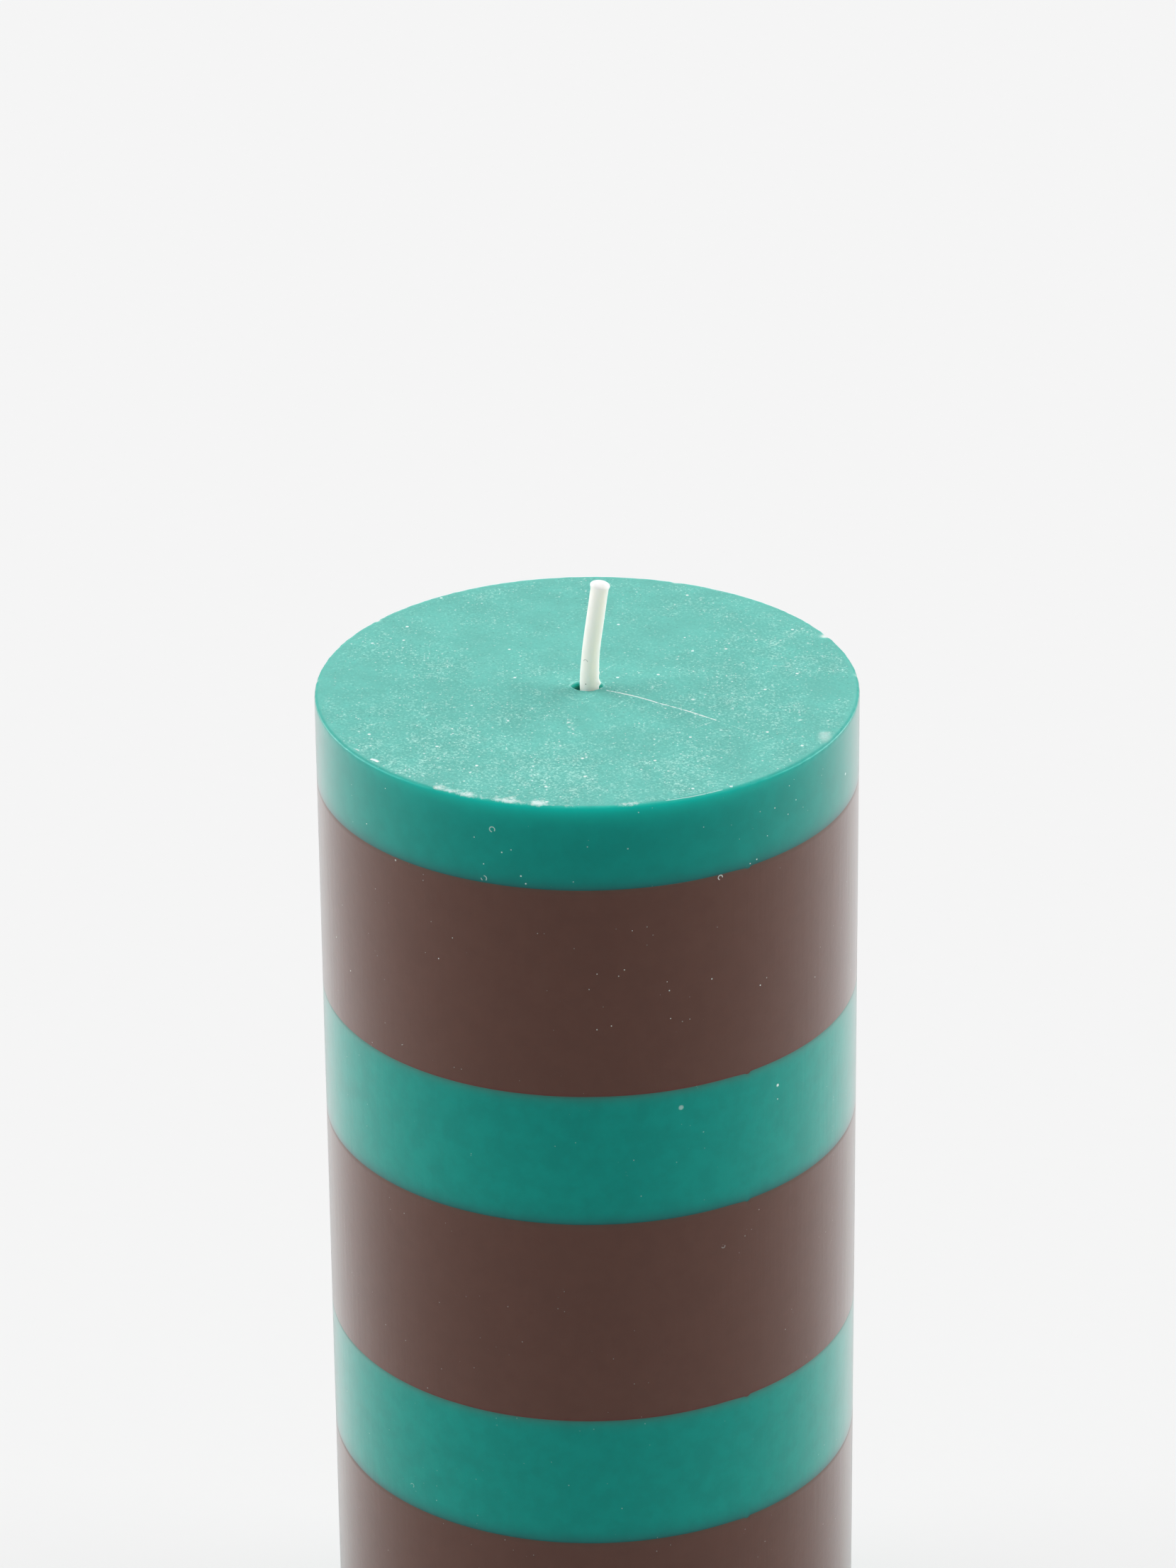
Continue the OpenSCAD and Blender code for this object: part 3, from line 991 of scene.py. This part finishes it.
def cap_finish(name, bump_depth, **skin):
    """The cap's wax: wall, painted light under the rim, and the pale, grainy, scratched top face,
    whose colour holds a painted reflection. Its colours are the same all over the cap, and only the
    skin differs between wall and top. The noise is turned, so that its lattice doesn't show as rows on
    the level face."""
    material, tree, shader = wax_shader(name, TEAL_MIRRORED, TEAL_REACH, **skin)
    place = object_place(tree)
    turned = add(tree, "Mapping", {"Vector": place, "Rotation": (0.6, 0.4, 0.9)}).outputs[0]
    fine = grain(tree, turned, 0.34 * MM, 3.0, 0.65)
    clumps = grain(tree, turned, 1.5 * MM, 3.0)
    broken = grain(tree, turned, 0.5 * MM, 4.0, 0.7)
    top = cap_top_colour(tree, place, turned, fine, clumps)
    top = scratched(tree, top, place, broken)
    shown = mix(tree, attribute(tree, "top_share"), cap_wall_colour(tree, place), top)
    shown = mix(tree, worn_white(tree, clumps, broken), shown, SPARKLE)
    tree.links.new(shown, shader.inputs["Base Color"])
    rough = plus(tree, times(tree, fine, 0.7), grain(tree, place, 1.6 * MM, 3.0))
    set_bump(tree, shader, rough, 0.6, bump_depth)
    return material


cap_wall_wax = cap_finish("teal_wax_cap_wall", 0.004 * MM)
cap_top_wax = cap_finish("teal_wax_cap_top", 0.03 * MM, **RUBBED_DULL)
make_cap(cap_wall_wax, cap_top_wax)

# %% [markdown]
# ## The foot
# The foot was the last pour. It set in open air at the mould's mouth, and was then levelled on
# a hot plate, so its underside is dull and swirled while its wall is as glossy as the rest. A
# shallow round recess takes the wick's metal tab, so that the candle stands flat.

# %% The foot's finish
POURED_PALE = paint(54, 181, 166)
SWIRL_SIZE = 22 * MM
SWIRL_PUSH = 20 * MM


def poured_finish():
    """Wax that set in open air: pale swirls, drawn by bending the place before the noise reads
    it, and a dull, rippled skin."""
    material, tree, shader = wax_shader(
        "teal_wax_poured", TEAL_MIRRORED, TEAL_REACH, Roughness=0.55, Coat_Roughness=0.45
    )
    place = object_place(tree)
    feeds = {"Vector": place, "Scale": 1 / SWIRL_SIZE, "Detail": 1.0}
    bend = add(tree, "TexNoise", feeds).outputs["Color"]
    pushed = vector(tree, "MULTIPLY", bend, (SWIRL_PUSH, SWIRL_PUSH, 0.0))
    swirls = grain(tree, vector(tree, "ADD", place, pushed), 6 * MM, 5.0, 0.6)
    shown = mix(tree, swirls, shade(TEAL, 0.9), POURED_PALE)
    dots = specks(tree, place, 1.6 * MM, 0.22 * MM, 0.3)
    shown = mix(tree, times(tree, dots, 0.5), shown, DUST)
    tree.links.new(shown, shader.inputs["Base Color"])
    set_bump(tree, shader, swirls, 0.7, 0.15 * MM)
    return material


# %% The foot
BEVEL = 0.8 * MM
BEVEL_POWER = 1.5
RECESS_RADIUS = 10.5 * MM
TAB_SHEET = 0.3 * MM
RECESS_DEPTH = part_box("wick_tab")[0].z + TAB_SHEET
RECESS_EDGE = 0.15 * MM
NO_JOINT = 1.0


def bevel_rows(rows):
    """The bevel round the foot, softened: r = R - b + b cos(a)^p and z = b - b sin(a)^p, which
    is a quarter circle at p = 1 and a straight bevel at p = 2."""
    a = np.linspace(0, math.pi / 2, rows)
    r = RADIUS - WALL_INSET - BEVEL + BEVEL * np.cos(a) ** BEVEL_POWER
    return round_the_axis(r, BEVEL - BEVEL * np.sin(a) ** BEVEL_POWER)


def underside_rows(rows):
    """The level underside, from the bevel in to the recess, with ripples that only go up."""
    r = np.linspace(RADIUS - WALL_INSET - BEVEL, RECESS_RADIUS + RECESS_EDGE, rows)[1:]
    share = (RADIUS - BEVEL - r) / (RADIUS - BEVEL - RECESS_RADIUS)
    face = round_the_axis(r, np.zeros(len(r)), BORE_BACK * np.clip(share, 0, 1))
    ripples = 0.5 + 0.3 * hills(face, 9 * MM, 91) + 0.2 * hills(face, 2.5 * MM, 92)
    edges = np.clip(np.minimum(share, 1 - share) * 8, 0, 1)[:, None]
    face[..., 2] += 0.08 * MM * edges * ripples
    return face


def make_foot(wall_wax, under_wax):
    """The foot: wall, bevel, underside, recess, bore and the joint above. The dull finish starts
    halfway round the bevel and ends in the recess."""
    above = joints["band_brown_lower"]
    upper = joint_rows(above, 9, 7)
    wall = wall_rows(above, np.full(COLUMNS, BEVEL), 30, 95)
    wall[0] = upper[0]
    bevel = bevel_rows(8)
    bevel[0] = wall[-1]
    under = underside_rows(26)
    edge = arc_rows(RECESS_RADIUS + RECESS_EDGE, RECESS_EDGE, RECESS_EDGE, 270, 180, 4, BORE_BACK)[1:]
    ceiling_r = np.linspace(RECESS_RADIUS, BORE_RADIUS, 10)
    ceiling = round_the_axis(ceiling_r, np.full(10, RECESS_DEPTH), np.full(10, BORE_BACK))
    bore = bore_rows(RECESS_DEPTH, upper[-1, 0, 2], 6)
    underside = [bevel[1:], under, edge, ceiling]
    points = np.concatenate([wall, *underside, bore, upper[:0:-1]])
    carried = band_edges(points, above, np.zeros(COLUMNS))
    carried["from_foot"] = np.full(points.shape[:2], NO_JOINT)
    faces = grid_faces(len(points), COLUMNS, True)
    row = np.arange(len(faces)) // COLUMNS
    last = len(wall) + sum(len(rows) for rows in underside) - 1
    is_under = (row >= len(wall) + len(bevel) // 2) & (row < last)
    return make_piece(
        "foot_teal_wax", points, faces, ["foot_teal"], [wall_wax, under_wax],
        face_material=is_under, carried=carried,
    )


make_foot(teal_wax, poured_finish())

# %% [markdown]
# ## The wick's line
# The wick was dipped in wax and cut to length before it went up the bore from below. It pivots
# in the tab's neck, leans on the side of the bore, and bends gently to the right above the wax.
# All three of its pieces follow the one line, so that line is a function of how far one has gone
# along it: straight, then an arc, then straight again.

# %% The wick's line
NECK_MIDDLE = RECESS_DEPTH + 2.0 * MM
RUN_UP = top_z + 0.3 * MM - NECK_MIDDLE
BEND_RADIUS = 50 * MM
BEND = math.radians(7.7)
WICK_END = top_z + 14.9 * MM - NECK_MIDDLE
WICK_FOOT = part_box("wick_tab")[0].z - NECK_MIDDLE
COAT_RADIUS = 1.22 * MM
REST_TO = math.radians(-68)
REST_TILT = math.atan((BORE_RADIUS - COAT_RADIUS - 0.03 * MM) / (top_z - NECK_MIDDLE))
NECK_FRAME = np.array(
    Matrix.Translation((0, BORE_BACK, NECK_MIDDLE))
    @ Matrix.Rotation(REST_TO, 4, "Z")
    @ Matrix.Rotation(REST_TILT, 4, "Y")
    @ Matrix.Rotation(-REST_TO, 4, "Z")
)


def along_wick(s, out_x, out_y):
    """Points at s along the wick's line, out_x towards the side that it bends to and out_y across.
    In the bend the line has turned by a = (s - RUN_UP) / BEND_RADIUS: it has moved sideways
    by R (1 - cos a) and up by R sin a, and it goes on straight at the last angle."""
    a = np.clip((s - RUN_UP) / BEND_RADIUS, 0, BEND)
    past = np.maximum(s - RUN_UP - BEND_RADIUS * BEND, 0)
    x = BEND_RADIUS * (1 - np.cos(a)) + past * np.sin(a) + out_x * np.cos(a)
    z = np.minimum(s, RUN_UP) + BEND_RADIUS * np.sin(a) + past * np.cos(a) - out_x * np.sin(a)
    points = np.stack(np.broadcast_arrays(x, out_y, z, 1.0), axis=-1)
    return (points @ NECK_FRAME.T)[..., :3]


print(f"wick: {(WICK_END - WICK_FOOT) / MM:.1f} mm long, leans {math.degrees(REST_TILT):.2f} degrees")

# %% [markdown]
# ## The wick's wax coat
# The coat is a tube of hard white wax that follows the line. In the part that stands out of the
# candle the wax has soaked right through the cotton, so there the coat is solid and the strands
# are set in it; that is also what lets light shine through the wick from the side, and, with a
# painted shade on its two sides that face the lamps, makes it look evenly white. Where the wick
# was cut, the warm wax was pushed down and out, which left a domed end with a soft lip. A few
# crumbs were pressed onto it where it leaves the bore.

# %% The wick's wax coat
COAT_COLUMNS = 72
DOME = 0.48 * MM
CORE_RADIUS = 0.92 * MM
SEAL = 0.35 * MM
SOAKED_FROM = 8 * MM
FREE_FROM = RUN_UP - 1.5 * MM
NECKED_TO = 4 * MM
# The burr where the wick was pushed against the bore's mouth: height above it, and angle round
BURR = (0.8 * MM, math.radians(-20))
around = np.arange(COAT_COLUMNS) * 2 * math.pi / COAT_COLUMNS
CRIMPS = 4


def crimped(s, angle):
    """How far the tab's neck is pressed in at s along the wick: four dimples round its middle."""
    return 0.1 * MM * np.exp(-((s / (0.9 * MM)) ** 2)) * np.clip(np.cos(CRIMPS * angle), 0, 1) ** 2


def coat_radius(s):
    """The coat's radius at s along the wick: COAT_RADIUS in the bore, a little more where it
    leaves it, slimmer between there and the head, and a lip that is widest just below the end."""
    to_end = (WICK_END - s) / MM
    swell = 0.01 * np.exp(-(((to_end - 15) / 3.0) ** 2))
    waist = -0.078 * np.exp(-(((to_end - 5.5) / 6.5) ** 6))
    lip = 0.12 * np.exp(-(((to_end - 0.45) / 0.32) ** 2))
    return COAT_RADIUS + MM * (swell + waist + lip)


def coat_surface(s):
    """The outside of the coat: a grid of rings with long lumps, short ones, and crumbs and a
    burr on one side, where the wick was pushed against the bore's mouth."""
    s = s[:, None]
    long = np.stack(np.broadcast_arrays(np.cos(around) * MM, np.sin(around) * MM, 0.35 * s), axis=-1)
    short = long * [1, 1, 2.8]
    lumps = 0.012 * hills(long, 1.3 * MM, 101) + 0.006 * hills(short, 0.45 * MM, 102)
    above = (s - top_z + NECK_MIDDLE) / MM
    crumbly = np.exp(-(((above - 1.2) / 1.8) ** 2)) * np.clip(np.cos(around), 0, 1) ** 3
    crumbs = 0.13 * crumbly * np.clip(hills(short, 0.4 * MM, 103), 0, 1)
    from_burr = (around - BURR[1] + math.pi) % (2 * math.pi) - math.pi
    burr = 0.32 * np.exp(-(((above - BURR[0] / MM) / 0.4) ** 2) - (from_burr / 0.2) ** 2)
    radius = coat_radius(s) + MM * (lumps + crumbs + burr) - crimped(s, around)
    return along_wick(s, radius * np.cos(around), radius * np.sin(around))


def coat_dome(rings):
    """The cut end: r = R cos(a)^0.75 and height = h sin(a), a dome that is flat on top, with its
    last ring left to a cap."""
    a = np.linspace(0, 0.48 * math.pi, rings)[:, None]
    s = WICK_END - DOME + DOME * np.sin(a)
    radius = coat_radius(WICK_END - DOME) * np.cos(a) ** 0.75
    wobble = 1 + np.sin(a) * (0.03 * np.cos(2 * around + 0.7) + 0.02 * np.cos(5 * around))
    slope = 0.06 * MM * (np.cos(around - 0.6) - 1) * np.sin(a)
    radius = radius * wobble
    return along_wick(s + slope, radius * np.cos(around), radius * np.sin(around))


COAT_PALE = paint(251, 238, 234)
COAT_STREAK = paint(246, 234, 229)
COAT_THIN = paint(244, 231, 216)
# The painted shade on the wick's two sides
COAT_PAINTED_SHADE = paint(214, 206, 202)
COAT_CUT = paint(240, 234, 234)
SPECK_DARK = paint(48, 60, 58)
SPECK_FAINT = paint(60, 70, 66)
# A dark mote and a curled hair on the coat: height above the candle, and angle round from +X
MOTE = (0.95 * MM, math.radians(-113))
HAIR = (4.0 * MM, math.radians(-122))
HAIR_RADIUS = 0.3 * MM


def on_the_coat(height, angle):
    """The point of the coat at a height above the candle and an angle round the wick."""
    s = top_z - NECK_MIDDLE + height
    return tuple(along_wick(s, coat_radius(s) * math.cos(angle), coat_radius(s) * math.sin(angle)))


def wick_specks(tree, place):
    """The share of the mote and the hair. The hair is the upper arch of a small circle."""
    from_mote = vector(tree, "DISTANCE", place, on_the_coat(*MOTE))
    mote = between(tree, from_mote, 0.09 * MM, 0.05 * MM)
    from_hair = vector(tree, "DISTANCE", place, on_the_coat(*HAIR))
    ring = between(tree, apart(tree, from_hair, HAIR_RADIUS), 0.06 * MM, 0.02 * MM)
    height = add(tree, "SeparateXYZ", {"Vector": place}).outputs["Z"]
    arch = calc(tree, "GREATER_THAN", height, on_the_coat(*HAIR)[2] + 0.05 * MM)
    hair = times(tree, times(tree, ring, arch), 0.5)
    return most(tree, mote, hair)


def wick_wax_finish():
    """Hard white wax: warmer in a streak where it is thin over the cotton, with painted shade on the
    two sides of the wick that face the lamps, duller where it was cut, and with a few dark specks."""
    material, tree, shader = new_finish(
        "wick_wax", Roughness=0.5, IOR=1.25, Subsurface_Weight=1.0, Subsurface_Scale=1.0,
        Subsurface_Radius=(4.0 * MM, 3.8 * MM, 3.4 * MM),
    )
    place = object_place(tree)
    streaks = grain(tree, object_place(tree, (1.0, 1.0, 0.14)), 0.9 * MM, 3.0)
    shown = mix(tree, streaks, COAT_PALE, COAT_STREAK)
    shown = mix(tree, times(tree, attribute(tree, "thin_coat"), 0.7), shown, COAT_THIN)
    shown = mix(tree, times(tree, attribute(tree, "painted_side_shade"), 0.8), shown, COAT_PAINTED_SHADE)
    shown = mix(tree, attribute(tree, "cut_end"), shown, COAT_CUT)
    shown = mix(tree, wick_specks(tree, place), shown, SPECK_DARK)
    motes = specks(tree, place, 1.9 * MM, 0.1 * MM, 0.12)
    shown = mix(tree, times(tree, motes, 0.6), shown, SPECK_FAINT)
    tree.links.new(shown, shader.inputs["Base Color"])
    height = plus(tree, grain(tree, place, 0.5 * MM, 4.0), streaks)
    set_bump(tree, shader, height, 0.5, 0.02 * MM, ["Normal"])
    return material


def make_coat():
    """The coat: domed end, outside, foot, and a cavity for the braid that ends SOAKED_FROM below
    the bend. The rings are close together in the free part and in the tab's neck."""
    free = np.linspace(WICK_END - DOME, FREE_FROM, 110)[1:]
    bored = np.linspace(FREE_FROM, NECKED_TO, 40)[1:]
    necked = np.linspace(NECKED_TO, WICK_FOOT, 26)[1:]
    outside = coat_surface(np.concatenate([free, bored, necked]))
    dome = coat_dome(14)[::-1]
    inner_s = np.linspace(WICK_FOOT, RUN_UP - SOAKED_FROM, 30)
    inner = along_wick(inner_s[:, None], CORE_RADIUS * np.cos(around), CORE_RADIUS * np.sin(around))
    points = np.concatenate([dome, outside, inner])
    faces = grid_faces(len(points), COAT_COLUMNS, False)
    ring = np.arange(COAT_COLUMNS)
    cut_end = np.zeros(points.shape[:2])
    cut_end[: len(dome)] = np.linspace(1, 0.2, len(dome))[:, None]
    thin_coat = np.broadcast_to(round_hump(np.degrees(around), -55, 38), points.shape[:2])
    # Painted shade on the two sides that face the side lamps, so that the wick's edges are no brighter
    # than its middle
    painted_side_shade = np.broadcast_to(np.cos(around) ** 2, points.shape[:2])
    last = (len(points) - 1) * COAT_COLUMNS
    return make_piece(
        "wick_coat", points, faces, ["wick_wax_coat"], [wick_wax_finish()],
        caps=[ring[::-1].tolist(), (last + ring).tolist()],
        carried={"cut_end": cut_end, "thin_coat": thin_coat, "painted_side_shade": painted_side_shade},
    )


make_coat()

# %% [markdown]
# ## The braid
# A candle wick is a round braid: some strands wind to the left, as many to the right, and where
# two cross, one goes over the other. A strand is a thin tube round a helix, whose distance from
# the middle rises and falls once for every two crossings. The helix then follows the wick's line.

# %% The braid
STRANDS_EACH_WAY = 4
STRAND_RADIUS = 0.25 * MM
BRAID_LAY = 7.0 * MM
BRAID_RADIUS = 0.56 * MM
BRAID_WEAVE = 0.09 * MM
CORE_STRAND = 0.26 * MM
STRAND_SIDES = 7
tube = np.arange(STRAND_SIDES) * 2 * math.pi / STRAND_SIDES


def strand(s, way, number):
    """One strand as rings of points: it winds round by a = 2 pi s / BRAID_LAY, to the left or
    the right, and stands BRAID_WEAVE further out or in at every other crossing."""
    a = 2 * math.pi * s / BRAID_LAY
    angle = way * a + number * 2 * math.pi / STRANDS_EACH_WAY
    out = BRAID_RADIUS + way * BRAID_WEAVE * np.cos(STRANDS_EACH_WAY * a)
    flat = STRAND_RADIUS * np.cos(tube)
    wide = 1.15 * STRAND_RADIUS * np.sin(tube)
    r = out[:, None] + flat
    x = r * np.cos(angle)[:, None] - wide * np.sin(angle)[:, None]
    y = r * np.sin(angle)[:, None] + wide * np.cos(angle)[:, None]
    return along_wick(s[:, None], x, y)


def core_strand(s):
    """The straight strand in the middle of the braid."""
    return along_wick(s[:, None], CORE_STRAND * np.cos(tube), CORE_STRAND * np.sin(tube))


def cotton_finish():
    """Twisted cotton soaked in wax: fibres that run along the wick, and a little shadow."""
    material, tree, shader = new_finish("wick_cotton", Roughness=0.75, Sheen_Weight=0.2)
    fibres = grain(tree, object_place(tree, (1.0, 1.0, 0.25)), 0.12 * MM, 3.0)
    shown = mix(tree, between(tree, fibres, 0.3, 0.7), paint(196, 190, 168), paint(236, 233, 220))
    tree.links.new(shown, shader.inputs["Base Color"])
    set_bump(tree, shader, fibres, 0.8, 0.03 * MM, ["Normal"])
    return material


def make_braid():
    """All the strands as one mesh, each a closed tube with a cap at both ends."""
    s = np.linspace(WICK_FOOT, WICK_END - SEAL, 340)
    strands = [strand(s, way, k) for way in (1, -1) for k in range(STRANDS_EACH_WAY)]
    strands.append(core_strand(s))
    faces, caps = [], []
    one = grid_faces(len(s), STRAND_SIDES, False)
    ring = np.arange(STRAND_SIDES)
    for k in range(len(strands)):
        first = k * len(s) * STRAND_SIDES
        last = first + (len(s) - 1) * STRAND_SIDES
        faces.append(one + first)
        caps += [(first + ring[::-1]).tolist(), (last + ring).tolist()]
    points = np.concatenate([rings.reshape(-1, 3) for rings in strands])
    return make_piece(
        "wick_braid_strands", points, np.concatenate(faces), ["wick_braid"],
        [cotton_finish()], caps=caps,
    )


make_braid()

# %% [markdown]
# ## The tab
# The tab is stamped from tinplate: a disc, with a neck drawn up from its middle that is crimped
# round the coated wick. Drawing leaves a fillet between disc and neck, and the press leaves fine
# rings. One closed outline carried round the axis makes the shape, and bump adds the rings.

# %% The tab
TAB_RADIUS = 10 * MM
TAB_FILLET = 0.5 * MM
NECK_FLARE = 0.45 * MM
NECK_INSIDE = 1.25 * MM
NECK_HEIGHT = 4.0 * MM
PRESS_RING = 0.16 * MM
TAB_COLUMNS = 144
tab_turn = np.arange(TAB_COLUMNS) * 2 * math.pi / TAB_COLUMNS


def outline_arc(r, z, radius, start, stop, count):
    """Points of an outline at (r + radius cos a, z + radius sin a), with a in degrees."""
    a = np.radians(np.linspace(start, stop, count))
    return np.stack([r + radius * np.cos(a), z + radius * np.sin(a)], axis=-1)


def tab_outline():
    """The outline (r, z) above the tab's underside, from the disc's lower edge out, over and up
    the neck, and back down inside it. A fillet is a quarter of a circle."""
    half = TAB_SHEET / 2
    disc_r, wall_r = TAB_RADIUS - half, NECK_INSIDE + TAB_SHEET
    fillet_r, fillet_z = wall_r + TAB_FILLET, TAB_SHEET + TAB_FILLET
    lip_z = TAB_SHEET + NECK_HEIGHT - half
    flare_r = NECK_INSIDE + NECK_FLARE
    return np.concatenate([
        outline_arc(disc_r, half, half, -90, 90, 7),
        np.linspace((disc_r, TAB_SHEET), (fillet_r, TAB_SHEET), 40)[1:],
        outline_arc(fillet_r, fillet_z, TAB_FILLET, 270, 180, 6)[1:],
        np.linspace((wall_r, fillet_z), (wall_r, lip_z), 22)[1:],
        outline_arc(NECK_INSIDE + half, lip_z, half, 0, 180, 6)[1:],
        np.linspace((NECK_INSIDE, lip_z), (NECK_INSIDE, NECK_FLARE), 22)[1:],
        outline_arc(flare_r, NECK_FLARE, NECK_FLARE, 180, 270, 6)[1:],
        np.linspace((flare_r, 0), (disc_r, 0), 40)[1:-1],
    ])


def tab_finish():
    """Tinplate: bright metal with fine rings from the press, dulled in cloudy patches."""
    material, tree, shader = new_finish("tab_metal", Metallic=1.0)
    place = object_place(tree)
    dull = grain(tree, place, 2.5 * MM, 4.0)
    shown = mix(tree, dull, paint(196, 197, 194), paint(172, 172, 168))
    tree.links.new(shown, shader.inputs["Base Color"])
    roughness = add(tree, "MapRange", {"Value": dull, "To Min": 0.22, "To Max": 0.42}).outputs[0]
    tree.links.new(roughness, shader.inputs["Roughness"])
    centred = add(tree, "Mapping", {"Vector": place, "Location": (0, -BORE_BACK, 0)}).outputs[0]
    out = vector(tree, "LENGTH", vector(tree, "MULTIPLY", centred, (1, 1, 0)))
    feeds = {"W": times(tree, out, 1 / PRESS_RING)}
    rings = add(tree, "TexNoise", feeds, noise_dimensions="1D").outputs[0]
    set_bump(tree, shader, rings, 0.35, 0.02 * MM, ["Normal"])
    return material


def make_tab():
    """The outline carried round the bore's axis, with the crimps pressed into the neck."""
    outline = tab_outline()
    r = np.broadcast_to(outline[:, :1], (len(outline), TAB_COLUMNS)).copy()
    z = np.broadcast_to(outline[:, 1:], r.shape).copy()
    on_neck = r < NECK_INSIDE + TAB_SHEET + 0.01 * MM
    height = z + WICK_FOOT
    r -= np.where(on_neck, crimped(height, tab_turn), 0)
    x, y = r * np.cos(tab_turn), BORE_BACK + r * np.sin(tab_turn)
    points = np.stack([x, y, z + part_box("wick_tab")[0].z], axis=-1)
    faces = grid_faces(len(points), TAB_COLUMNS, True)
    return make_piece("wick_tab_tinplate", points, faces, ["wick_tab"], [tab_finish()])


make_tab()
